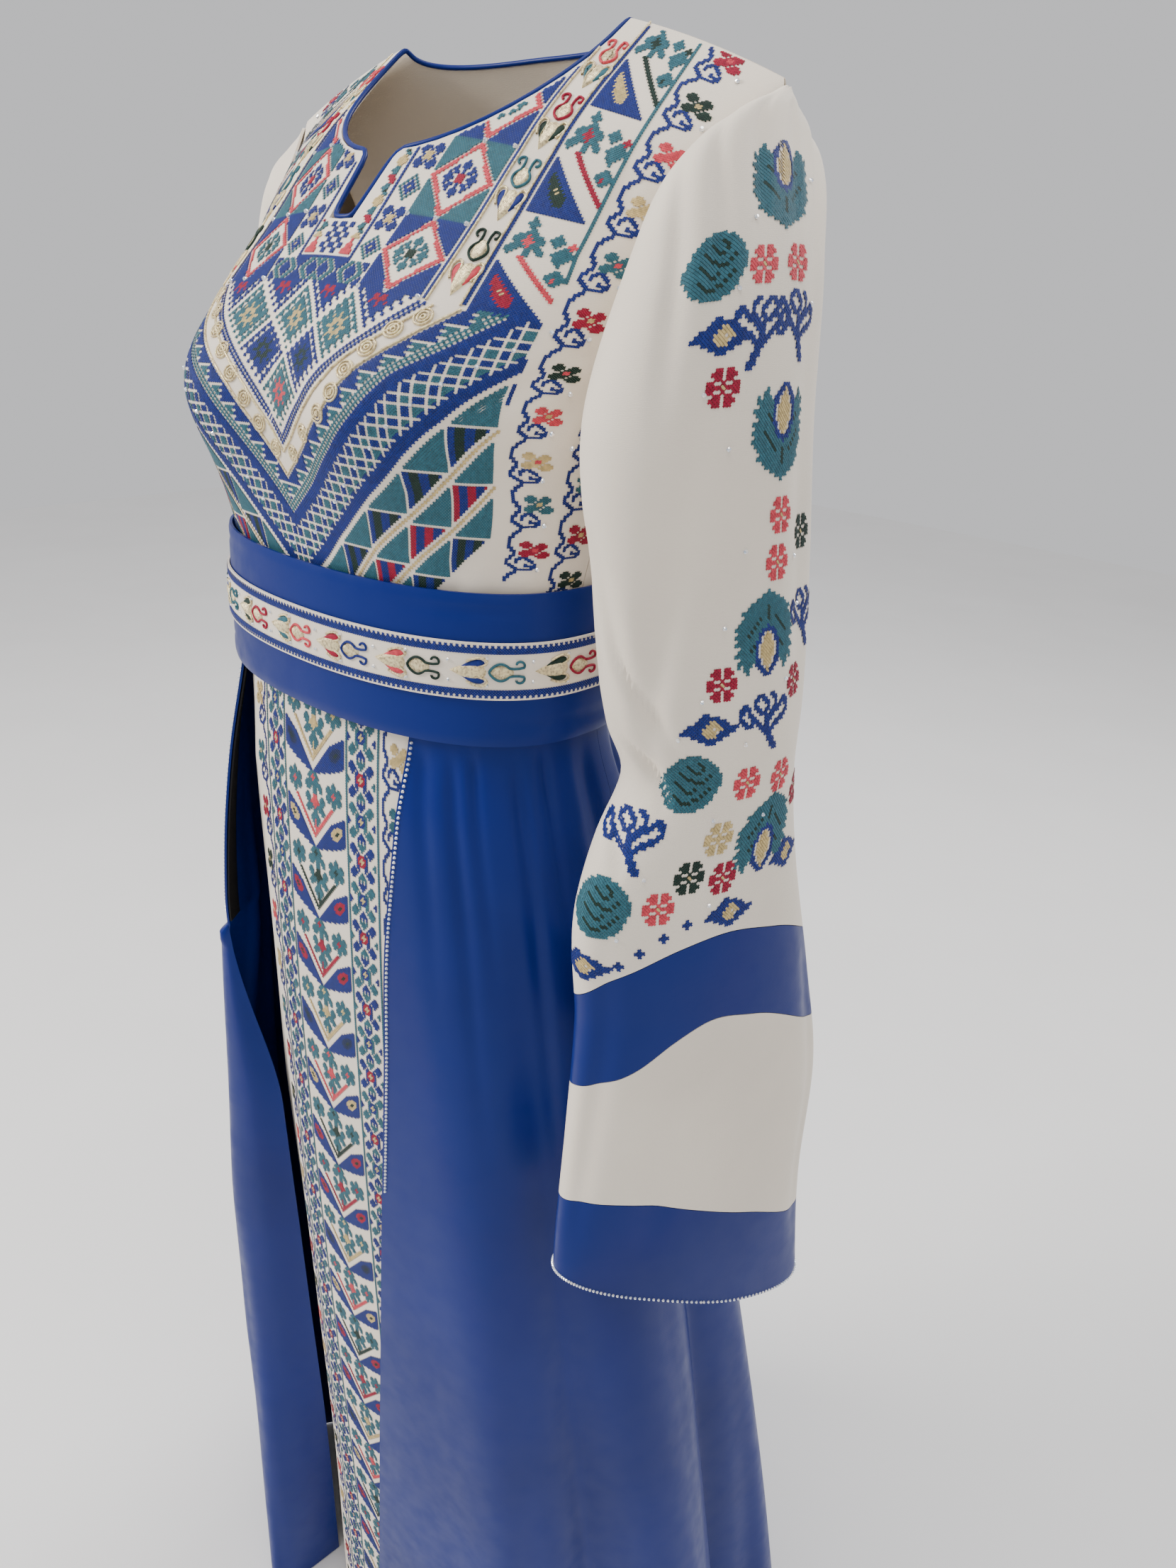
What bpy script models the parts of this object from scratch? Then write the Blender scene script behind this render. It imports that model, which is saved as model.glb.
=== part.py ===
"""Long two-layer dress of cream crepe and blue satin, worn and hollow.

Every piece of cloth is a wall of even thickness through curves that are
worked out from the tables below.  Metres, +Z up, front towards -Y, the
wearer's left towards +X.  The origin is the middle of the shoulder line.
"""
import bpy
import numpy as np
from mathutils import Vector
from mathutils.geometry import delaunay_2d_cdt, intersect_point_line

WALL = 0.0018             # thickness of every cloth wall
TRIM = 0.0014             # thickness of the band laid on the belt
SEAM = 0.0004             # room left between two pieces sewn together
STEP = 0.023              # size of the faces on the bodice
PIPING_RADIUS = 0.0016
FACING_DEPTH = 0.026

SHOULDER_TILT = 0.025     # the worn shoulder line leans a little
SHOULDER_TURN = 0.070     # and is turned a little to the wearer's left
# The right arm hangs further back: t, backwards, down.
RIGHT_ARM = [
    (0.060, 0.026, -0.006), (0.130, 0.056, -0.006), (0.220, 0.086, -0.004),
    (0.430, 0.092, -0.004), (0.660, 0.110, -0.004), (1.060, 0.118, -0.004),
]

WAIST_Z = -0.356          # where bodice and skirt meet under the belt
SKIRT_TOP = -0.3585
HEM_Z = -1.500
UNDER_LAYER = -0.0045     # front panel, measured from the skirt's main curve
OVER_LAYER = 0.0045       # blue overskirt

# Rings of the bodice from the waist up to the shoulder seam.
TORSO = [
    # level  z_mid   z_side  half_w  front   back   side_y
    (0.00, -0.355, -0.357, 0.1535, -0.167, 0.004, -0.082),   # waist
    (0.12, -0.312, -0.316, 0.1545, -0.171, 0.010, -0.078),   # top of belt
    (0.24, -0.266, -0.272, 0.1580, -0.179, 0.022, -0.068),   # under bust
    (0.38, -0.208, -0.216, 0.1660, -0.182, 0.040, -0.052),   # bust
    (0.52, -0.155, -0.170, 0.1730, -0.160, 0.056, -0.036),   # armpit
    (0.67, -0.105, -0.130, 0.1810, -0.124, 0.066, -0.020),   # chest
    (0.83, -0.050, -0.088, 0.1910, -0.076, 0.058, -0.008),   # upper chest
    (1.00, 0.010, -0.042, 0.2040, -0.002, 0.002, 0.000),     # shoulder seam
]
BUST_X, BUST_Z, BUST_OUT, BUST_SPREAD = 0.085, -0.205, 0.024, 0.058

# Armhole: level, angle from the centre front to its front and back edge.
ARMHOLE = [
    (0.50, 90, 90), (0.53, 82, 99), (0.58, 75, 106), (0.66, 71, 110),
    (0.75, 69, 110), (0.84, 69, 108), (0.92, 73, 103), (0.97, 80, 97),
    (1.00, 90, 90),
]

NECK_HALF_WIDTH = 0.097
NECK_FRONT_LEVEL = 0.752
NECK_BACK_LEVEL = 0.930
NOTCH_TOP_HALF = 0.0150
NOTCH_LOW_HALF = 0.0110
NOTCH_LEVEL = 0.645

# Rings of the skirt.
SKIRT = [
    # z      half_w  front   back   side_y
    (-0.358, 0.1545, -0.168, 0.006, -0.082),   # under the belt
    (-0.400, 0.1560, -0.172, 0.012, -0.080),   # foot of the belt
    (-0.540, 0.1760, -0.176, 0.056, -0.064),   # hip
    (-0.780, 0.2050, -0.172, 0.118, -0.034),   # thigh
    (-1.040, 0.2340, -0.160, 0.168, 0.000),    # knee
    (-1.260, 0.2580, -0.148, 0.206, 0.022),    # calf
    (-1.500, 0.2840, -0.140, 0.240, 0.036),    # hem
]

# Folds of the skirt: angle, half width in degrees, outward at the hem, start.
SKIRT_FOLDS = [
    (-34, 14, -0.026, -0.48),
    (40, 11, 0.016, -0.42),
    (62, 8, -0.026, -0.50),
    (84, 11, 0.030, -0.76),
    (104, 7, -0.034, -0.60),
    (124, 11, 0.036, -0.44),
    (146, 8, -0.032, -0.50),
    (166, 11, 0.036, -0.44),
    (188, 8, -0.034, -0.55),
    (208, 11, 0.038, -0.44),
    (230, 8, -0.036, -0.50),
    (250, 11, 0.030, -0.70),
    (274, 8, -0.028, -0.70),
    (296, 9, 0.014, -0.60),
]

# Edge of the left flap: height, angle from the centre front.
LEFT_EDGE = [
    (-0.358, 35), (-0.400, 34), (-0.465, 29.5), (-0.540, 24.5),
    (-0.660, 20.5), (-0.885, 13), (-1.290, 2), (-1.500, -1),
]
# Edge of the front panel on the wearer's right.
PANEL_EDGE = [
    (-0.358, -40), (-0.405, -40), (-0.505, -42), (-0.605, -38),
    (-0.715, -35), (-0.855, -31), (-1.075, -28), (-1.500, -29),
]
# Ridge of the right flap, which stands away from the panel: height, x, y.
# The flap ends on this ridge above, and rolls on over the panel below it.
RIGHT_RIDGE = [
    (-0.358, -0.0985, -0.1500), (-0.405, -0.1010, -0.1590),
    (-0.480, -0.1130, -0.1690), (-0.520, -0.1140, -0.1750),
    (-0.655, -0.1340, -0.1750), (-0.812, -0.1500, -0.1750),
    (-0.994, -0.1640, -0.1760), (-1.115, -0.1620, -0.1760),
    (-1.228, -0.1500, -0.1750), (-1.369, -0.1440, -0.1740),
    (-1.500, -0.1420, -0.1730),
]
ROLL_START, ROLL_LENGTH = -0.60, 0.22
SIDE_SEAM = 100.0         # angle of the skirt's side seams
PANEL_UNDERLAP = 13.0     # how far the panel runs on under the left flap

# Belt: z, half width, front, back, side.
BELT = [
    (-0.3075, 0.1605, -0.1775, 0.0165, -0.0785),
    (-0.3548, 0.1615, -0.17825, 0.01775, -0.07925),
    (-0.4020, 0.1625, -0.1790, 0.0190, -0.0800),
]
BRAID_TOP, BRAID_FOOT = -0.3360, -0.3710

# Rings of the sleeve, shoulder to hand.
SLEEVE = [
    # t     centre x  y       z       out     fore   tilt  turn
    (0.060, 0.1970, -0.012, -0.100, 0.0500, 0.068, 62, 90),   # cap
    (0.130, 0.2120, -0.038, -0.140, 0.0450, 0.073, 36, 88),   # below the cap
    (0.220, 0.2240, -0.061, -0.207, 0.0440, 0.077, 10, 85),   # upper arm
    (0.320, 0.2290, -0.056, -0.284, 0.0430, 0.075, 3, 82),
    (0.430, 0.2370, -0.050, -0.370, 0.0400, 0.068, 0, 80),
    (0.485, 0.2400, -0.046, -0.407, 0.0370, 0.061, 0, 79),    # elbow
    (0.525, 0.2430, -0.057, -0.437, 0.0360, 0.071, 0, 78),
    (0.570, 0.2460, -0.063, -0.472, 0.0350, 0.080, 0, 77),
    (0.680, 0.2530, -0.055, -0.559, 0.0340, 0.089, 0, 75),    # lower arm
    (0.790, 0.2580, -0.051, -0.639, 0.0320, 0.098, 0, 73),
    (0.910, 0.2620, -0.059, -0.732, 0.0300, 0.098, 0, 71),
    (1.060, 0.2660, -0.054, -0.852, 0.0290, 0.103, 0, 70),    # hand
]
# Seams round the sleeve: angle from its outer line towards the front, t.
BAND_TOP = [
    (0, 0.600), (22, 0.605), (47, 0.620), (85, 0.645), (130, 0.660),
    (210, 0.660), (288, 0.640), (330, 0.612),
]
BAND_FOOT = [
    (9, 0.677), (25, 0.690), (42, 0.713), (93, 0.738), (150, 0.750),
    (250, 0.745), (299, 0.730), (347, 0.685),
]
CUFF_TOP = [
    (32, 0.860), (96, 0.855), (180, 0.880), (250, 0.930), (301, 0.940),
    (340, 0.905),
]
CUFF_END = [
    (28, 0.965), (82, 0.935), (180, 0.960), (250, 1.020), (300, 1.030),
    (340, 1.010),
]
# Soft troughs down the sleeve: angle, t at its start and end, width, depth.
SLEEVE_FOLDS = [
    (27, 73, 0.17, 0.50, 11, 0.0060),
    (330, 318, 0.10, 0.46, 12, 0.0040),
]

CREAM = (0.80, 0.72, 0.60)
BLUE = (0.010, 0.040, 0.300)
BLACK = (0.012, 0.012, 0.014)


def through(t, knots, values):
    """Smooth curve through the given rows, read at t."""
    t = np.asarray(t, float)
    knots = np.asarray(knots, float)
    values = np.asarray(values, float)
    slope = np.gradient(values, knots)
    i = np.clip(np.searchsorted(knots, t, side="right") - 1, 0, len(knots) - 2)
    span = knots[i + 1] - knots[i]
    u = np.clip((t - knots[i]) / span, 0, 1)
    return ((2 * u**3 - 3 * u**2 + 1) * values[i]
            + (u**3 - 2 * u**2 + u) * span * slope[i]
            + (-2 * u**3 + 3 * u**2) * values[i + 1]
            + (u**3 - u**2) * span * slope[i + 1])


def column(rows, k, t, key=0, sign=1.0):
    """Read one column of a table at t."""
    return through(np.asarray(t, float) * sign,
                   [sign * r[key] for r in rows], [r[k] for r in rows])


def around(rows, degrees):
    """Read a table of a closed ring at an angle."""
    ring = [(a - 360, v) for a, v in rows] + list(rows)
    ring += [(a + 360, v) for a, v in rows]
    wrapped = np.mod(np.asarray(degrees, float), 360)
    return through(wrapped, [r[0] for r in ring], [r[1] for r in ring])


def ease(t):
    t = np.clip(t, 0, 1)
    return t * t * (3 - 2 * t)


def oval(a, half_w, front, back, side):
    """Plan curve of the body: x and y at angle a from the centre front."""
    s, c = np.sin(a), np.cos(a)
    x = half_w * np.sign(s) * np.abs(s)**0.92
    ahead = side + (front - side) * np.abs(c)**0.85
    behind = side + (back - side) * np.abs(c)**0.80
    return x, np.where(c >= 0, ahead, behind)


def torso(a, h):
    """Bodice surface; a in radians from the centre front, h from 0 to 1."""
    a, h = np.broadcast_arrays(np.asarray(a, float), np.asarray(h, float))
    z_mid, z_side, half_w, front, back, side = [
        column(TORSO, k, h) for k in range(1, 7)]
    x, y = oval(a, half_w, front, back, side)
    z = z_mid + (z_side - z_mid) * np.abs(np.sin(a))**1.6
    swell = np.exp(-((np.abs(x) - BUST_X) / BUST_SPREAD)**2
                   - ((z - BUST_Z) / BUST_SPREAD)**2)
    y = y - BUST_OUT * swell * np.clip(3 * np.cos(a), 0, 1)
    rise = ease((h - 0.30) / 0.70)
    return np.stack([x, y + SHOULDER_TURN * x * rise,
                     z + SHOULDER_TILT * x * rise], -1)


def skirt(a, z):
    """Main skirt surface; a in radians, z the height."""
    a, z = np.broadcast_arrays(np.asarray(a, float), np.asarray(z, float))
    half_w, front, back, side = [
        column(SKIRT, k, z, sign=-1.0) for k in range(1, 5)]
    x, y = oval(a, half_w, front, back, side)
    out = np.zeros_like(x)
    for angle, width, depth, start in SKIRT_FOLDS:
        away = (np.degrees(a) - angle + 180) % 360 - 180
        grow = np.clip((start - z) / (start - HEM_Z), 0, 1)**0.8
        out = out + depth * grow * np.exp(-(away / width)**2)
    return np.stack([x + np.sin(a) * out, y - np.cos(a) * out, z], -1)


def normals(surface, u, v):
    """Unit normals of surface(u, v), facing away from the wearer."""
    d = 1e-4
    du = surface(u + d, v) - surface(u - d, v)
    dv = surface(u, v + d) - surface(u, v - d)
    n = np.cross(du, dv)
    return n / np.maximum(np.linalg.norm(n, axis=-1, keepdims=True), 1e-12)


def torso_normals(a, h):
    """Normals of the bodice, turned upright along the shoulder seam."""
    n = normals(torso, a, np.clip(h, 0.0002, 0.9990))
    x = torso(a, h)[..., :1]
    up = np.concatenate([1.1 * x, 0 * x, 1 + 0 * x], -1)
    up = up / np.linalg.norm(up, axis=-1, keepdims=True)
    k = np.clip((np.asarray(h) - 0.88) / 0.12, 0, 1)[..., None]**2
    n = n * (1 - k) + up * k
    return n / np.linalg.norm(n, axis=-1, keepdims=True)


def armhole(theta, side=1):
    """Armhole edge; theta 0 at the shoulder, 90 in front, 180 under the arm."""
    t = np.radians(theta)
    h = 0.75 + 0.25 * np.cos(t)
    ahead = column(ARMHOLE, 1, h)
    behind = column(ARMHOLE, 2, h)
    a = np.radians(np.where(np.sin(t) >= 0, ahead, behind)) * side
    n = torso_normals(a, h)
    out = np.array([side * 1.0, 0.0, 0.0])
    under = ease(-np.cos(t) * 1.4)[..., None]
    return torso(a, h) + 0.0026 * n + (0.0014 + 0.0045 * under) * out


def sleeve_ring(theta, row, side=1):
    """One closed ring of the sleeve."""
    level, cx, cy, cz, out, fore, tilt, turn = row
    t, tilt, turn = np.radians(theta), np.radians(tilt), np.radians(turn)
    centre = np.array([cx, cy, cz])
    outward = np.array([np.cos(tilt) * np.sin(turn),
                        -np.cos(tilt) * np.cos(turn), np.sin(tilt)])
    forward = np.array([-np.cos(turn), -np.sin(turn), 0.0])
    p = (centre + np.cos(t)[..., None] * out * outward
         + np.sin(t)[..., None] * fore * forward)
    if side < 0:
        p = p * np.array([-1.0, 1.0, 1.0])
        p = p + np.array([0.0, float(column(RIGHT_ARM, 1, level)),
                          float(column(RIGHT_ARM, 2, level))])
    return p


def sleeve(theta, t, side=1):
    """Sleeve surface; theta in degrees round it, t from shoulder to hand."""
    theta, t = np.broadcast_arrays(np.asarray(theta, float),
                                   np.asarray(t, float))
    knots = np.array([0.0] + [r[0] for r in SLEEVE])
    rings = [armhole(theta, side)]
    rings += [sleeve_ring(theta, r, side) for r in SLEEVE]
    stack = np.stack(rings, 0)
    slope = np.gradient(stack, knots, axis=0)
    i = np.clip(np.searchsorted(knots, t, side="right") - 1, 0, len(knots) - 2)
    span = (knots[i + 1] - knots[i])[..., None]
    u = (t - knots[i])[..., None] / span

    def pick(block, k):
        return np.take_along_axis(block, k[None, ..., None], 0)[0]

    p = ((2 * u**3 - 3 * u**2 + 1) * pick(stack, i)
         + (u**3 - 2 * u**2 + u) * span * pick(slope, i)
         + (-2 * u**3 + 3 * u**2) * pick(stack, i + 1)
         + (u**3 - u**2) * span * pick(slope, i + 1))
    middle = np.stack([column(SLEEVE, k, t) for k in (1, 2, 3)], -1)
    middle = middle * np.array([side, 1.0, 1.0])
    if side < 0:
        middle[..., 1] += column(RIGHT_ARM, 1, t)
    inward = middle - p
    inward = inward / np.maximum(
        np.linalg.norm(inward, axis=-1, keepdims=True), 1e-9)
    depth = np.zeros_like(t)
    for a0, a1, t0, t1, width, deep in SLEEVE_FOLDS:
        s = np.clip((t - t0) / (t1 - t0), 0, 1)
        away = (theta - (a0 + (a1 - a0) * s) + 180) % 360 - 180
        fade = np.sin(np.pi * s)
        depth = depth + deep * fade * np.exp(-(away / width)**2)
    return p + inward * depth[..., None]


def cloth(name, colour, roughness=0.6):
    """Plain material of one kind of cloth."""
    mat = bpy.data.materials.new(name)
    mat.use_nodes = True
    shader = mat.node_tree.nodes["Principled BSDF"]
    shader.inputs["Base Color"].default_value = (*colour, 1.0)
    shader.inputs["Roughness"].default_value = roughness
    return mat


def piece(name, points, faces, mat):
    """Put one closed piece in the scene."""
    mesh = bpy.data.meshes.new(name)
    mesh.from_pydata([tuple(p) for p in points], [], [tuple(f) for f in faces])
    mesh.materials.append(mat)
    mesh.validate()
    mesh.update()
    obj = bpy.data.objects.new(name, mesh)
    bpy.context.scene.collection.objects.link(obj)
    return obj


def boundary_edges(faces):
    """Directed edges that belong to one face only."""
    used = set()
    for f in faces:
        for i, j in zip(f, f[1:] + f[:1]):
            used.add((i, j))
    return [(i, j) for i, j in used if (j, i) not in used]


def thicken(name, middle, out, faces, mat, thickness=WALL):
    """Closed wall: outer skin, inner skin and the rims between them."""
    middle, out = np.asarray(middle), np.asarray(out)
    count = len(middle)
    faces = [list(f) for f in faces]
    facing = 0.0
    for f in faces:
        side = np.cross(middle[f[1]] - middle[f[0]], middle[f[2]] - middle[f[0]])
        facing += np.dot(side, out[f[0]])
    if facing < 0:
        faces = [g[::-1] for g in faces]
    points = np.concatenate([middle + out * thickness / 2,
                             middle - out * thickness / 2])
    solid = list(faces)
    solid += [[i + count for i in g[::-1]] for g in faces]
    solid += [[j, i, i + count, j + count] for i, j in boundary_edges(faces)]
    return piece(name, points, solid, mat)


def grid_wall(name, middle, out, mat, closed=False, thickness=WALL):
    """Wall over a grid of points; closed joins the last column to the first."""
    rows, cols = middle.shape[:2]
    last = cols if closed else cols - 1
    faces = []
    for r in range(rows - 1):
        for c in range(last):
            d = (c + 1) % cols
            low, far = (r + 1) * cols + c, (r + 1) * cols + d
            faces.append([r * cols + c, r * cols + d, far])
            faces.append([r * cols + c, far, low])
    return thicken(name, middle.reshape(-1, 3), out.reshape(-1, 3), faces,
                   mat, thickness)


def inside(p, outline):
    """True where p lies in the closed outline."""
    x, y = p
    hit = False
    for (x0, y0), (x1, y1) in zip(outline, outline[1:] + outline[:1]):
        if (y0 > y) != (y1 > y) and x < (x1 - x0) * (y - y0) / (y1 - y0) + x0:
            hit = not hit
    return hit


def spaced(outline, step):
    """The outline again with long sides divided."""
    points = []
    for p, q in zip(outline, outline[1:] + outline[:1]):
        n = max(1, int(round(np.hypot(q[0] - p[0], q[1] - p[1]) / step)))
        points += [(p[0] + (q[0] - p[0]) * k / n, p[1] + (q[1] - p[1]) * k / n)
                   for k in range(n)]
    return points


def clear_of(p, outline, room):
    """True when p is at least room away from every side of the outline."""
    here = Vector((p[0], p[1], 0))
    for q, r in zip(outline, outline[1:] + outline[:1]):
        start, end = Vector((q[0], q[1], 0)), Vector((r[0], r[1], 0))
        foot, t = intersect_point_line(here, start, end)
        foot = start if t < 0 else end if t > 1 else foot
        if (foot - here).length < room:
            return False
    return True


def cut_panel(outline, step):
    """Triangles over a flat outline."""
    edge = spaced(outline, step)
    points = [Vector(p) for p in edge]
    xs, ys = [p[0] for p in edge], [p[1] for p in edge]
    rows = int((max(ys) - min(ys)) / step) + 2
    cols = int((max(xs) - min(xs)) / step) + 2
    for r in range(rows):
        for c in range(cols):
            p = (min(xs) + (c + 0.5 * (r % 2)) * step,
                 min(ys) + (r + 0.4) * step)
            if inside(p, edge) and clear_of(p, edge, 0.55 * step):
                points.append(Vector(p))
    ring = list(range(len(edge)))
    found, _, faces, _, _, _ = delaunay_2d_cdt(points, [], [ring], 1, 1e-7)
    return np.array([tuple(p) for p in found]), [list(f) for f in faces]


ACROSS, ALONG = 0.165, 0.40     # metres of cloth per radian and per level


def torso_piece(name, outline, mat, shift=0.0, step=STEP, thickness=WALL):
    """Piece of the bodice; its outline is given as (angle, level) pairs."""
    flat = [(np.radians(a) * ACROSS, h * ALONG) for a, h in outline]
    points, faces = cut_panel(flat, step)
    a, h = points[:, 0] / ACROSS, points[:, 1] / ALONG
    n = torso_normals(a, h)
    return thicken(name, torso(a, h) + shift * n, n, faces, mat, thickness)


def neck_angle(x, h, back=False):
    """Angle of the bodice point at distance x from the middle."""
    half_w = float(column(TORSO, 3, h))
    a = np.degrees(np.arcsin(min(1.0, (abs(x) / half_w)**(1 / 0.92))))
    a = 180 - a if back else a
    return a if x >= 0 else -a


def neck_curve(back=False, grow=0.0, count=11):
    """Neckline from the wearer's left shoulder to the right one."""
    half = NECK_HALF_WIDTH + grow
    low = NECK_BACK_LEVEL if back else NECK_FRONT_LEVEL
    low = low - grow * 2.6
    curve = []
    for p in np.linspace(90, -90, 2 * count + 1):
        x = half * np.sin(np.radians(p))
        h = 1 - (1 - low) * np.cos(np.radians(p))
        curve.append((x, min(h, 1.0)))
    return curve


def front_neck(grow=0.0):
    """Front neckline with its squared notch, as (angle, level) pairs."""
    curve = neck_curve(grow=grow)
    top = NECK_FRONT_LEVEL - grow * 2.6
    low = NOTCH_LEVEL - grow * 2.6
    wide = NOTCH_TOP_HALF + grow * 0.8
    foot = NOTCH_LOW_HALF + grow * 0.8
    left = [c for c in curve if c[0] > wide + 0.004]
    right = [c for c in curve if c[0] < -wide - 0.004]
    notch = [(wide, top + 0.004), ((wide + foot) / 2, (top + low) / 2),
             (foot, low), (0.0, low - 0.002), (-foot, low),
             (-(wide + foot) / 2, (top + low) / 2), (-wide, top + 0.004)]
    return [(neck_angle(x, h), h) for x, h in left + notch + right]


def armhole_side(k, side):
    """Armhole edge from the shoulder down; k 1 in front, 2 behind."""
    turns = np.radians(np.arange(18, 180, 18.0))
    levels = 0.75 + 0.25 * np.cos(turns)
    return [(side * float(column(ARMHOLE, k, h)), float(h)) for h in levels]


def build_bodice(cream, blue):
    gap = np.degrees(SEAM / 2 / 0.16)
    top = 1 - 0.0007
    tip = neck_angle(0.2015, 1.0)
    neck = [(a, min(h, top)) for a, h in front_neck()]
    outline = [(-90 + gap, 0.0), (0, 0.0), (90 - gap, 0.0)]
    outline += [(90 - gap, 0.500)]
    outline += armhole_side(1, 1)[::-1]
    outline += [(tip, top)]
    outline += neck
    outline += [(-tip, top)]
    outline += armhole_side(1, -1)
    outline += [(-90 + gap, 0.500)]
    torso_piece("bodice_front", outline, cream)

    back_neck = [(neck_angle(x, h, True), min(h, top))
                 for x, h in neck_curve(back=True, count=7)]
    back_neck = [(a % 360, h) for a, h in back_neck]
    outline = [(270 - gap, 0.0), (180, 0.0), (90 + gap, 0.0)]
    outline += [(90 + gap, 0.500)]
    outline += armhole_side(2, 1)[::-1]
    outline += [(180 - tip, top)]
    outline += back_neck
    outline += [(180 + tip, top)]
    outline += [(360 + a, h) for a, h in armhole_side(2, -1)]
    outline += [(270 - gap, 0.500)]
    torso_piece("bodice_back", outline, cream)

    rim = [(a, min(h, 1 - 0.006)) for a, h in front_neck(grow=0.0012)]
    wide = [(a, min(h, 1 - 0.006)) for a, h in front_neck(FACING_DEPTH)]
    wide = [w for w in wide if abs(w[0]) > 8] or wide
    left = [w for w in wide if w[0] > 0]
    right = [w for w in wide if w[0] < 0]
    foot = [(7.0, NOTCH_LEVEL - 0.055), (-7.0, NOTCH_LEVEL - 0.055)]
    torso_piece("neck_facing", rim + (left + foot + right)[::-1], cream,
                shift=-0.0024, step=0.014, thickness=0.0012)

    loop = front_neck() + [(a, h) for a, h in reversed(back_neck)]
    build_piping("neck_piping", loop, blue)


def build_piping(name, loop, mat):
    """Round cord along the neck edge, just inside the opening."""
    a = np.radians([p[0] for p in loop])
    h = np.array([p[1] for p in loop])
    edge = torso(a, np.clip(h, 0, 1))
    keep = [0]
    for k in range(1, len(edge)):
        if np.linalg.norm(edge[k] - edge[keep[-1]]) > 0.003:
            keep.append(k)
    edge, out = edge[keep], torso_normals(a, np.clip(h, 0, 0.9999))[keep]
    ahead = np.roll(edge, -1, 0) - edge
    ahead = ahead / np.linalg.norm(ahead, axis=1, keepdims=True)
    along = ahead + np.roll(ahead, 1, 0)
    along = along / np.linalg.norm(along, axis=1, keepdims=True)
    open_way = np.cross(out, along)
    open_way = open_way / np.linalg.norm(open_way, axis=1, keepdims=True)
    middle = edge.mean(0)
    if ((middle - edge) * open_way).sum() < 0:
        open_way = -open_way
    sharp = 1 / np.maximum(0.6, (ahead * along).sum(1))[:, None]
    centre = edge + open_way * (PIPING_RADIUS + SEAM + WALL * 0.1) * sharp
    out = np.cross(along, open_way)
    sides = 6
    points = []
    for k in range(sides):
        t = 2 * np.pi * k / sides
        points.append(centre + PIPING_RADIUS * (np.cos(t) * open_way
                                                + np.sin(t) * out))
    points = np.stack(points, 1)
    rows, cols = points.shape[:2]
    faces = []
    for r in range(rows):
        for c in range(cols):
            s, d = (r + 1) % rows, (c + 1) % cols
            faces.append([r * cols + c, r * cols + d,
                          s * cols + d, s * cols + c])
    obj = piece(name, points.reshape(-1, 3), faces, mat)
    volume = 0.0
    for f in faces:
        p, q, r, s = [points.reshape(-1, 3)[i] for i in f]
        volume += np.dot(p, np.cross(q, r)) + np.dot(p, np.cross(r, s))
    if volume < 0:
        obj.data.flip_normals()
    return obj


def build_sleeve(side, cream, blue):
    """Upper sleeve, shaped band, lower panel and cuff of one arm."""
    word = "left" if side > 0 else "right"
    theta = np.arange(0, 360, 18.0)
    gap = 0.00035
    zero = 0 * theta
    parts = [
        ("sleeve_%s_upper" % word, zero, around(BAND_TOP, theta) - gap,
         [0, 0.035, 0.09, 0.17, 0.28, 0.40, 0.52, 0.66, 0.78, 0.89, 1],
         cream),
        ("sleeve_%s_band" % word, around(BAND_TOP, theta) + gap,
         around(BAND_FOOT, theta) - gap, [0, 1], blue),
        ("sleeve_%s_panel" % word, around(BAND_FOOT, theta) + gap,
         around(CUFF_TOP, theta) - gap, [0, 0.5, 1], cream),
        ("sleeve_%s_cuff" % word, around(CUFF_TOP, theta) + gap,
         around(CUFF_END, theta), [0, 1], blue),
    ]
    for name, start, end, rows, mat in parts:
        f = np.array(rows)[:, None]
        t = start[None] * (1 - f) + end[None] * f
        ring = np.broadcast_to(theta, t.shape)
        middle = sleeve(ring, t, side)
        d = 1e-3
        du = sleeve(ring + 0.5, t, side) - sleeve(ring - 0.5, t, side)
        dv = sleeve(ring, t + d, side) - sleeve(ring, np.maximum(t - d, 0),
                                                side)
        n = np.cross(du, dv) * side
        n = n / np.linalg.norm(n, axis=-1, keepdims=True)
        inner = middle.mean(1, keepdims=True)
        if ((middle - inner) * n).sum() < 0:
            n = -n
        grid_wall(name, middle, n, mat, closed=True)


def build_belt(cream, blue):
    """Wide sash with its embroidered band laid on."""
    a = np.radians(np.arange(0, 360, 9.0))

    def sash(angle, z):
        angle, z = np.broadcast_arrays(angle, z)
        half_w, front, back, side = [
            column(BELT, k, z, sign=-1.0) for k in range(1, 5)]
        x, y = oval(angle, half_w, front, back, side)
        return np.stack([x, y, z], -1)

    z = np.array([-0.3075, -0.3548, -0.4020])[:, None] + 0 * a
    n = normals(sash, a + 0 * z, z)
    middle = sash(a, z)
    if (middle[0, 0] * n[0, 0]).sum() < 0:
        n = -n
    grid_wall("belt", middle, n, blue, closed=True)
    z = np.array([BRAID_TOP, BRAID_FOOT])[:, None] + 0 * a
    middle = sash(a, z)
    n = normals(sash, a + 0 * z, z)
    if (middle[0, 0] * n[0, 0]).sum() < 0:
        n = -n
    grid_wall("belt_band", middle + n * 0.0023, n, cream, closed=True,
              thickness=TRIM)


def skirt_normals(a, z):
    """Normals of the skirt, always away from the wearer."""
    n = normals(skirt, a, z)
    facing = n[..., 0] * np.sin(a) - n[..., 1] * np.cos(a)
    return n * np.sign(facing)[..., None]


def over_layer(z):
    """How far the overskirt stands off, nothing where the belt holds it."""
    return OVER_LAYER * ease((-0.404 - z) / 0.06)


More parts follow.
